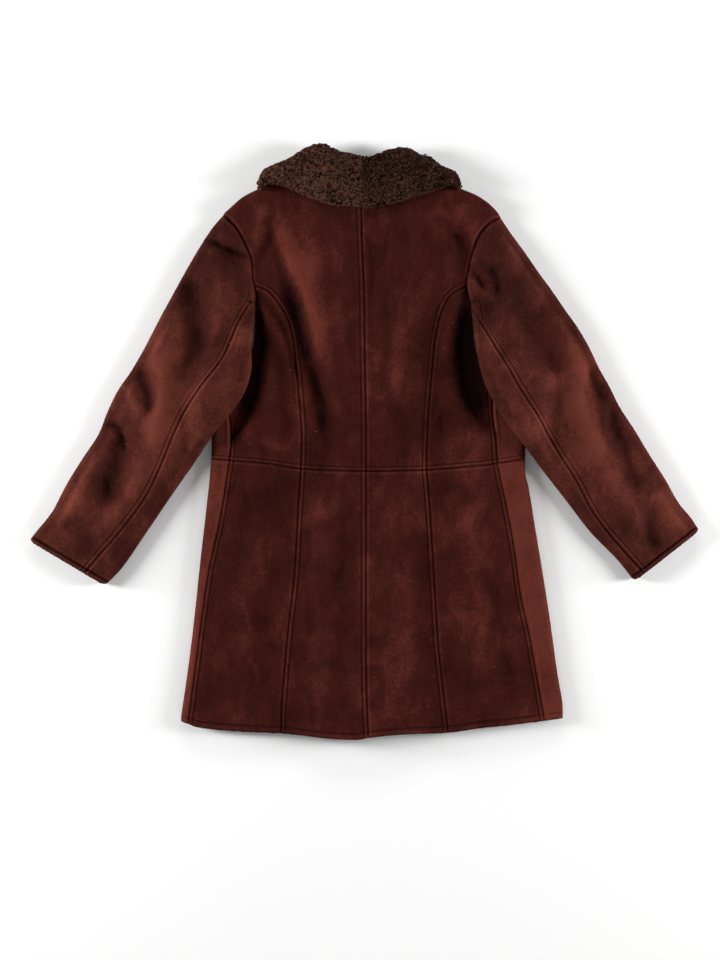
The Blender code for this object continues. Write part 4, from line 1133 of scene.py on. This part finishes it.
def collar_half(node, side, plan, high, low, edge_t, shown):
    """A collar solid with a clumped surface, and the curls that stand on what of it can be seen."""
    size, thickness, count, tone = CURL[side]
    x, y = plan[..., 0], plan[..., 1]
    high = np.maximum(high, low + 1.0)
    flat = np.column_stack([x.ravel(), y.ravel(), high.ravel()])
    lumps = (0.7 - clumps(flat, 2.6 * size, 11)).reshape(x.shape)
    fade = np.ones(x.shape)
    fade[-1] = 0.3
    raised = high + (2.0 * lumps * fade if shown else 0)
    top = np.dstack([x, y, np.maximum(raised, low + LEAST_THICK)])
    # the wool's base under the curls is painted dark, as the shade between them
    painted_gap_shade = np.full(x.shape, tone - 0.6)
    made, area = closed_mesh(node + "_wool", top, np.dstack([x, y, low]), None, painted_gap_shade)
    finished(made, node, (FLEECE, FLEECE))
    rng = np.random.default_rng(CURL_SEED[side])
    normal = surface_normals(top)
    cell = np.linalg.norm(np.cross(top[1:, :-1] - top[:-1, :-1], top[:-1, 1:] - top[:-1, :-1]), axis=2)
    rows = len(edge_t)
    if not shown:
        cell[: rows + 3] = 0.0
        cell[:, (SHOULDER_COLUMNS - 1) * FINE + 8:] = 0.0
        count = count // FRONT_CURLS
    pick = rng.choice(cell.size, count, p=(cell / cell.sum()).ravel())
    i, j = np.unravel_index(pick, cell.shape)
    s, t = rng.random(count)[:, None], rng.random(count)[:, None]

    def mixed(field):
        """A grid's values at the picked places."""
        return ((field[i, j] * (1 - t) + field[i, j + 1] * t) * (1 - s)
                + (field[i + 1, j] * (1 - t) + field[i + 1, j + 1] * t) * s)

    place, way = mixed(top), mixed(normal)
    way /= np.linalg.norm(way, axis=1)[:, None]
    rim = shown * np.exp(-(np.concatenate([edge_t, np.ones(len(plan) - rows)])[i] / 0.09) ** 2)
    patchy = waves(place[:, 0], place[:, 1], 24, 5)
    # the rim's share of the shade is a painted highlight along the collar's rolled edge
    shade = tone + 0.16 * rng.standard_normal(count) + 0.12 * patchy + 0.26 * rim
    scale = size * (0.75 + 0.5 * rng.random(count)) * (1 - 0.35 * rim)
    curls = curled(f"{node}_curls", place, way, scale, thickness * (1 - 0.2 * rim), shade, rng)
    return made, area, curls


def surface_normals(grid):
    """Unit normals of a grid of points, facing up on the whole."""
    du = np.gradient(grid, axis=1)
    dv = np.gradient(grid, axis=0)
    n = np.cross(du, dv)
    n /= np.linalg.norm(n, axis=2)[:, :, None] + 1e-9
    return n * np.where(n[..., 2].mean() < 0, -1, 1)


def curled(name, place, way, size, thickness, shade, rng, steps=9, ring=5, rise=2.2):
    """Small locks of wool, each wound round a point of the surface, in one mesh."""
    count = len(place)
    t = np.linspace(0, 1, steps)[None, :]
    helper = rng.standard_normal((count, 3))
    u = np.cross(way, helper)
    u /= np.linalg.norm(u, axis=1)[:, None]
    v = np.cross(way, u)
    turns = rng.uniform(0.65, 1.35, count)[:, None] * rng.choice([-1, 1], count)[:, None]
    angle = 2 * np.pi * turns * t
    reach = np.reshape(size, (-1, 1)) * (1 - 0.66 * t)
    lift = -0.9 + rise * np.sin(np.pi * (0.12 + 0.76 * t)) * rng.uniform(0.6, 1.4, count)[:, None]
    path = (place[:, None] + u[:, None] * (reach * np.cos(angle))[..., None]
            + v[:, None] * (reach * np.sin(angle))[..., None] + way[:, None] * lift[..., None])
    along_path = np.gradient(path, axis=1)
    along_path /= np.linalg.norm(along_path, axis=2)[..., None]
    side_way = np.cross(along_path, way[:, None])
    side_way /= np.linalg.norm(side_way, axis=2)[..., None] + 1e-9
    up = np.cross(side_way, along_path)
    round_it = np.linspace(0, 2 * np.pi, ring, endpoint=False)
    swell = 0.55 + 0.5 * np.sin(np.pi * (0.1 + 0.85 * t))
    radius = np.reshape(thickness * np.ones(count), (-1, 1)) * swell
    rings = (path[:, :, None] + radius[..., None, None] * (
        side_way[:, :, None] * np.cos(round_it)[None, None, :, None]
        + up[:, :, None] * np.sin(round_it)[None, None, :, None]))
    points = rings.reshape(-1, 3) * MM
    # painted shade low on each lock, painted light where it stands up
    painted_lock_shading = np.reshape(shade, (-1, 1)) + CURL_PAINTED_SHADING * np.interp(t, (0, 0.55, 1), (-1.2, 0.8, 0.5))
    return joined(name, points, tube_faces(count, steps, ring), FLEECE, np.repeat(painted_lock_shading.ravel(), ring))


# ---- stitches and wool at the edges -----------------------------------------------------
def offset_line(line, away):
    """A polyline moved sideways, to its left when away is positive."""
    way = np.gradient(line, axis=0)
    way /= np.linalg.norm(way, axis=1)[:, None] + 1e-9
    return line + np.column_stack([-way[:, 1], way[:, 0]]) * away


def stitched(name, lines, height):
    """A row of stitches along each line, sunk into the surface that height gives."""
    places, ways = [], []
    for line in lines:
        count = max(int(lengths(line)[-1] / STITCH_PITCH), 2)
        p = along(line, (np.arange(count) + 0.5) / count)
        q = along(line, np.clip((np.arange(count) + 0.5) / count + 0.002, 0, 1))
        places.append(p)
        ways.append((q - p) / (np.linalg.norm(q - p, axis=1)[:, None] + 1e-9))
    p, way = np.vstack(places), np.vstack(ways)
    half = STITCH_LENGTH / 2
    ends = [height(*(p + way * s * half).T) for s in (-1, 1)]
    z = (ends[0] + ends[1]) / 2
    slope = (ends[1] - ends[0]) / 2
    t = np.array([-1.0, -0.7, 0.7, 1.0])
    size = np.array([0.15, 0.46, 0.46, 0.15])
    turn = np.linspace(0, 2 * np.pi, 6, endpoint=False)
    side_way = np.column_stack([-way[:, 1], way[:, 0]])
    flat = (p[:, None, None] + way[:, None, None] * (t * half)[None, :, None, None]
            + side_way[:, None, None] * (size[None, :, None, None] * np.cos(turn)[None, None, :, None]))
    up = (z[:, None, None] + slope[:, None, None] * t[None, :, None] + 0.25 - 0.35 * (t**2)[None, :, None]
          + size[None, :, None] * np.sin(turn)[None, None, :])
    points = np.concatenate([flat, up[..., None]], axis=3).reshape(-1, 3) * MM
    return joined(name, points, tube_faces(len(p), len(t), len(turn)), THREAD)


def edge_wool(name, line, z_from, z_to, outward, gap, seed):
    """Short wool that shows at a cut edge."""
    rng = np.random.default_rng(seed)
    count = int(lengths(line)[-1] / gap)
    share = np.sort(rng.random(count))
    p = along(line, share)
    z = z_from + (z_to - z_from) * rng.random(count)
    place = np.column_stack([p - np.array(outward) * 0.8, z])
    way = np.tile([outward[0], outward[1], 0.15], (count, 1)) + 0.25 * rng.standard_normal((count, 3))
    way /= np.linalg.norm(way, axis=1)[:, None]
    shade = 0.25 + 0.2 * rng.standard_normal(count)
    return curled(name, place, way, rng.uniform(0.7, 1.5, count), 0.6, shade, rng, steps=6, ring=4,
                  rise=1.6)


# ---- finishes ---------------------------------------------------------------------------
class Finish:
    """A material and short ways to add its nodes."""

    def __init__(self, name):
        self.made = bpy.data.materials.new(name)
        self.made.use_nodes = True
        self.tree = self.made.node_tree
        self.shader = self.tree.nodes["Principled BSDF"]
        self.space = self.tree.nodes.new("ShaderNodeTexCoord").outputs["Object"]

    def link(self, source, target):
        self.tree.links.new(source, target)

    def stretched(self, scale, turn=(0, 0, 0)):
        node = self.tree.nodes.new("ShaderNodeMapping")
        node.inputs["Scale"].default_value = scale
        node.inputs["Rotation"].default_value = turn
        self.link(self.space, node.inputs["Vector"])
        return node.outputs["Vector"]

    def noise(self, scale, detail=3.0, rough=0.55, distortion=0.0, space=None):
        node = self.tree.nodes.new("ShaderNodeTexNoise")
        node.inputs["Scale"].default_value = scale
        node.inputs["Detail"].default_value = detail
        node.inputs["Roughness"].default_value = rough
        node.inputs["Distortion"].default_value = distortion
        self.link(space or self.space, node.inputs["Vector"])
        return node.outputs["Fac"]

    def attribute(self, name):
        node = self.tree.nodes.new("ShaderNodeAttribute")
        node.attribute_name = name
        return node.outputs["Fac"]

    def maths(self, kind, a, b, c=None):
        node = self.tree.nodes.new("ShaderNodeMath")
        node.operation = kind
        for socket, value in zip(node.inputs, (a, b, c)):
            if value is None:
                continue
            if isinstance(value, (int, float)):
                socket.default_value = value
            else:
                self.link(value, socket)
        return node.outputs[0]

    def total(self, terms, start):
        """start plus each (source, weight, middle): how far a source is from its middle, times its weight."""
        value = start
        for source, weight, middle in terms:
            part = self.maths("SUBTRACT", source, middle)
            value = self.maths("MULTIPLY_ADD", part, weight, value)
        return value

    def ramp(self, source, stops):
        node = self.tree.nodes.new("ShaderNodeValToRGB")
        ramp = node.color_ramp
        while len(ramp.elements) < len(stops):
            ramp.elements.new(0.5)
        for element, (place, colour) in zip(ramp.elements, stops):
            element.position = place
            element.color = (*colour, 1)
        self.link(source, node.inputs["Fac"])
        return node.outputs["Color"]

    def mixed(self, share, a, colour):
        node = self.tree.nodes.new("ShaderNodeMix")
        node.data_type = "RGBA"
        self.link(share, node.inputs["Factor"])
        self.link(a, node.inputs["A"])
        node.inputs["B"].default_value = (*colour, 1)
        return node.outputs["Result"]

    def bump(self, source, height, strength=1.0, under=None):
        node = self.tree.nodes.new("ShaderNodeBump")
        node.inputs["Distance"].default_value = height
        node.inputs["Strength"].default_value = strength
        self.link(source, node.inputs["Height"])
        if under is not None:
            self.link(under, node.inputs["Normal"])
        return node.outputs["Normal"]

    def set(self, **values):
        for name, value in values.items():
            self.shader.inputs[name.replace("_", " ")].default_value = value


def suede(name, dark, middle, light, sheen):
    """Brushed sheepskin: patches where the nap lies differently, a fine grain, lips worn at the seams, and
    the painted light and painted shade that the tone attribute brings.
    """
    f = Finish(name)
    # the darkest stop is painted shadow, which the tone reaches at the armpits
    painted_shadow = tuple(0.3 * c for c in dark)
    nap = f.noise(1.0, 4, 0.6, 0.6, f.stretched((46, 24, 46), (0, 0, 0.3)))
    terms = ((f.noise(9, 4, 0.6, 0.4), 0.95, 0.5), (nap, 0.75, 0.5), (f.noise(230, 4, 0.7), 0.62, 0.5),
             (f.noise(760, 2, 0.6), 0.62, 0.5), (f.attribute("tone"), 0.62, 0.0))
    colour = f.ramp(f.total(terms, 0.5), ((0.0, painted_shadow), (0.14, dark), (0.5, middle), (0.95, light)))
    cells = f.tree.nodes.new("ShaderNodeTexVoronoi")
    cells.inputs["Scale"].default_value = 75
    f.link(f.space, cells.inputs["Vector"])
    rare = f.maths("GREATER_THAN", f.noise(260, 1), 0.66)
    speck = f.maths("MULTIPLY", f.maths("LESS_THAN", cells.outputs["Distance"], 0.085), rare)
    colour = f.mixed(f.maths("MULTIPLY", speck, 0.55), colour, (0.20, 0.10, 0.075))
    f.link(colour, f.shader.inputs["Base Color"])
    coarse = f.bump(f.noise(110, 4, 0.6), 0.0011, 0.55)
    f.link(f.bump(f.noise(900, 3, 0.7), 0.00035, 0.7, coarse), f.shader.inputs["Normal"])
    f.set(Roughness=0.95, Metallic=0.0, Specular_IOR_Level=0.04, Sheen_Weight=sheen, Sheen_Roughness=0.42,
          Sheen_Tint=(0.85, 0.36, 0.29, 1))
    return f.made


def fleece(name):
    """Dark wool: painted shade almost black between the curls, painted light where a lock stands up."""
    f = Finish(name)
    terms = ((f.noise(60, 3, 0.6), 0.35, 0.5), (f.noise(420, 3, 0.65), 0.55, 0.5),
             (f.attribute("tone"), 0.8, 0.0))
    colour = f.ramp(f.total(terms, 0.5),
                    ((0.05, (0.005, 0.0018, 0.0011)), (0.5, (0.0185, 0.0066, 0.0038)),
                     (0.95, (0.092, 0.0375, 0.0225))))
    f.link(colour, f.shader.inputs["Base Color"])
    strands = f.noise(1400, 2, 0.6, 1.2)
    f.link(f.bump(strands, 0.0004, 0.6), f.shader.inputs["Normal"])
    f.set(Roughness=0.82, Metallic=0.0, Specular_IOR_Level=0.06, Sheen_Weight=0.03, Sheen_Roughness=0.4,
          Sheen_Tint=(0.9, 0.62, 0.5, 1))
    return f.made


def thread(name):
    """Topstitching, a little darker than the suede."""
    f = Finish(name)
    f.link(f.ramp(f.noise(900, 2), ((0.3, (0.016, 0.0036, 0.0027)), (0.7, (0.045, 0.0110, 0.0080)))),
           f.shader.inputs["Base Color"])
    f.set(Roughness=0.85, Specular_IOR_Level=0.04)
    return f.made


def paper(name):
    """The backdrop's plain white."""
    f = Finish(name)
    f.link(f.ramp(f.noise(2.0, 2), ((0.3, (0.905, 0.905, 0.902)), (0.7, (0.915, 0.914, 0.912)))),
           f.shader.inputs["Base Color"])
    f.set(Roughness=0.9, Specular_IOR_Level=0.1)
    return f.made


SUEDE = suede("suede_body", (0.020, 0.0034, 0.0025), (0.041, 0.0075, 0.0054), (0.105, 0.0225, 0.0150), 0.0)
# the sleeves' suede is a lighter copy of the body's: partly a different lie of the nap, partly painted light
# where the side lamps fall on the sleeves
SLEEVE_SUEDE_PAINTED_LIGHTER = suede("suede_sleeves_painted_lighter", (0.024, 0.0050, 0.0037), (0.051, 0.0113, 0.0078),
                     (0.122, 0.0290, 0.0190), 0.02)
FLEECE = fleece("curly_wool")
THREAD = thread("seam_thread")


# ---- the scene --------------------------------------------------------------------------
CAMERA_AT = (-0.0064, -0.0588, 3.623)
LENS = 85
LAMPS = (  # name, place, width and height, watts
    ("left_softbox", (-2.6, 0.3, 0.85), (0.6, 2.0), 114),
    ("right_softbox", (2.6, 0.1, 0.85), (0.6, 2.0), 97),
    ("far_softbox", (0.0, 2.7, 1.3), (2.0, 0.7), 26),
    ("near_softbox", (0.0, -2.7, 1.3), (2.0, 0.7), 15),
)
AMBIENT = 0.19
FLOOR_HALF = 14.0      # metres, half the side of the floor


def studio():
    """The floor, the lamps and the camera."""
    scene = bpy.context.scene
    scene.view_settings.view_transform = "Standard"
    h = FLOOR_HALF
    mesh = bpy.data.meshes.new("floor")
    mesh.from_pydata([(-h, -h, 0), (h, -h, 0), (h, h, 0), (-h, h, 0)], [], [(0, 1, 2, 3)])
    mesh.materials.append(paper("floor_paper"))
    floor = bpy.data.objects.new("floor", mesh)
    bpy.context.collection.objects.link(floor)
    for name, place, (width, height), watts in LAMPS:
        lamp = bpy.data.lights.new(name, "AREA")
        lamp.shape = "RECTANGLE"
        lamp.size, lamp.size_y, lamp.energy = width, height, watts
        made = bpy.data.objects.new(name, lamp)
        made.location = place
        aim = made.location * -1
        made.rotation_euler = aim.to_track_quat("-Z", "Y").to_euler()
        bpy.context.collection.objects.link(made)
    world = bpy.data.worlds.new("studio")
    world.use_nodes = True
    world.node_tree.nodes["Background"].inputs["Color"].default_value = (1, 1, 1, 1)
    world.node_tree.nodes["Background"].inputs["Strength"].default_value = AMBIENT
    scene.world = world
    camera = bpy.data.cameras.new("camera")
    camera.lens, camera.sensor_width = LENS, 36
    made = bpy.data.objects.new("camera", camera)
    made.location = CAMERA_AT
    bpy.context.collection.objects.link(made)
    scene.camera = made


BACK_SEAMS = [(LINE[key], None) for key in (
    "centre", "waist", ("princess_upper", "left"), ("princess_upper", "right"), ("princess_skirt", "left"),
    ("princess_skirt", "right"), "hem")]
UPRIGHT_STITCHES = (  # piece, the seam they follow, from and to this height
    ("back_upper", "princess_upper", -30, 244), ("back_skirt", "princess_skirt", -448, -50),
    ("side_back_skirt", "side", -432, -38), ("side_back_upper", "side", -20, 60),
)
LEVEL_STITCHES = (  # piece, the seam they follow, from and to this far from the middle
    ("back_upper", "waist", 8, 96), ("side_back_upper", "waist", 106, 204),
    ("back_skirt", "hem", 10, 128), ("side_back_skirt", "hem", 138, 278),
)
HEM_WOOL = (("back_skirt", 6, 130, 3), ("side_back_skirt", 136, 282, 4))   # piece, from, to, seed
CUFF_WOOL_SEED = 6
CUFF_WOOL_INSET = 8    # from the cuff's corners


def back_height(x, y):
    """Top of the back, for what is sewn to it."""
    return panel_surface(x, y, BACK_SEAMS)[0]


def trimmed_line(line, low, high):
    """The stretch of a polyline between two heights."""
    return line[(line[:, 1] > low) & (line[:, 1] < high)]


def beside(line, side, low, high):
    """The stretch of a level polyline between two distances from the middle, on one side."""
    out = line[:, 0] * SIGN[side]
    return line[(out > low) & (out < high)]


def stitch_offset(side):
    """From the seams of this side to their stitches, which lie on the panel nearer the middle."""
    return STITCH_AT if side == "left" else -STITCH_AT


def back_stitches():
    """Topstitching on the body, by what it is sewn to."""
    centre = offset_line(LINE["centre"], -STITCH_AT)
    lines = {"back_upper_left": [trimmed_line(centre, -34, 372)],
             "back_skirt_left": [trimmed_line(centre, -459, -48)]}
    level = {"waist": offset_line(LINE["waist"], STITCH_AT), "hem": offset_line(LINE["hem"], HEM_STITCH_AT)}
    for side in SIDES:
        for piece, seam, low, high in UPRIGHT_STITCHES:
            row = trimmed_line(offset_line(LINE[seam, side], stitch_offset(side)), low, high)
            lines.setdefault(f"{piece}_{side}", []).append(row)
        for piece, seam, low, high in LEVEL_STITCHES:
            lines[f"{piece}_{side}"].append(beside(level[seam], side, low, high))
    return lines


def suede_pieces():
    """Every suede piece with its area and what it rests on, by node."""
    made = {}
    for side in SIDES:
        princess, centre = LINE["princess_skirt", side], LINE["centre"]
        made[f"back_upper_{side}"] = (*back_upper(side), "front_upper_" + side)
        made[f"side_back_upper_{side}"] = (*side_back_upper(side), "front_upper_" + side)
        inner = [(centre, STITCH_AT if side == "left" else None), (princess, STITCH_AT)]
        outer = [(princess, None), (LINE["side", side], STITCH_AT)]
        node = f"back_skirt_{side}"
        made[node] = (*skirt_panel(node, princess, centre, inner), "front_skirt_" + side)
        node = f"side_back_skirt_{side}"
        made[node] = (*skirt_panel(node, LINE["side", side], princess, outer), "front_skirt_" + side)
        made[f"front_upper_{side}"] = (*front_upper(side), "collar_front_" + side)
        made[f"front_skirt_{side}"] = (*front_skirt(side), "floor")
        for piece in ("top", "under"):
            made[f"sleeve_{piece}_{side}"] = (*sleeve_piece(side, piece), "floor")
    return made


def cuff_wool(side):
    """Short wool at a cuff."""
    cuff = np.array(SLEEVE_ROWS[side][-1], float).reshape(2, 2)
    way = (cuff[1] - cuff[0]) / np.linalg.norm(cuff[1] - cuff[0])
    line = np.array([cuff[0] + way * CUFF_WOOL_INSET, cuff[1] - way * CUFF_WOOL_INSET])
    out = np.array([way[1], -way[0]]) * (1 if way[0] > 0 else -1)
    return edge_wool(f"sleeve_top_{side}_cuff_wool", line, 12, 19, tuple(out), 0.9, CUFF_WOOL_SEED)


def main():
    studio()
    made = suede_pieces()
    extras = {node: [stitched(node + "_stitches", rows, back_height)]
              for node, rows in back_stitches().items()}
    for side in SIDES:
        run = trimmed_line(offset_line(LINE["sleeve_seam", side], -stitch_offset(side)), -196, 205)
        extras[f"sleeve_top_{side}"] = [stitched(f"sleeve_top_{side}_stitches", [run],
                                                 lambda x, y, s=side: sleeve_top_z(s, x, y) - 1.1)]
        for build, where, rests_on in ((collar_back, "back", "back_upper_" + side),
                                       (collar_front, "front", "floor")):
            shell, area, curls = build(side)
            made[f"collar_{where}_{side}"] = (shell, area, rests_on)
            extras[f"collar_{where}_{side}"] = [curls]
    for side in SIDES:
        for piece, low, high, seed in HEM_WOOL:
            line = beside(LINE["hem"], side, low, high)
            extras[f"{piece}_{side}"].append(
                edge_wool(f"{piece}_{side}_edge_wool", line, 13, 18, (0, -1), 1.5, seed))
        extras[f"sleeve_top_{side}"].append(cuff_wool(side))
    for node, (shell, area, rests_on) in made.items():
        with_pieces = extras.get(node, [])
        for extra in with_pieces:
            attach(extra, "root")


main()
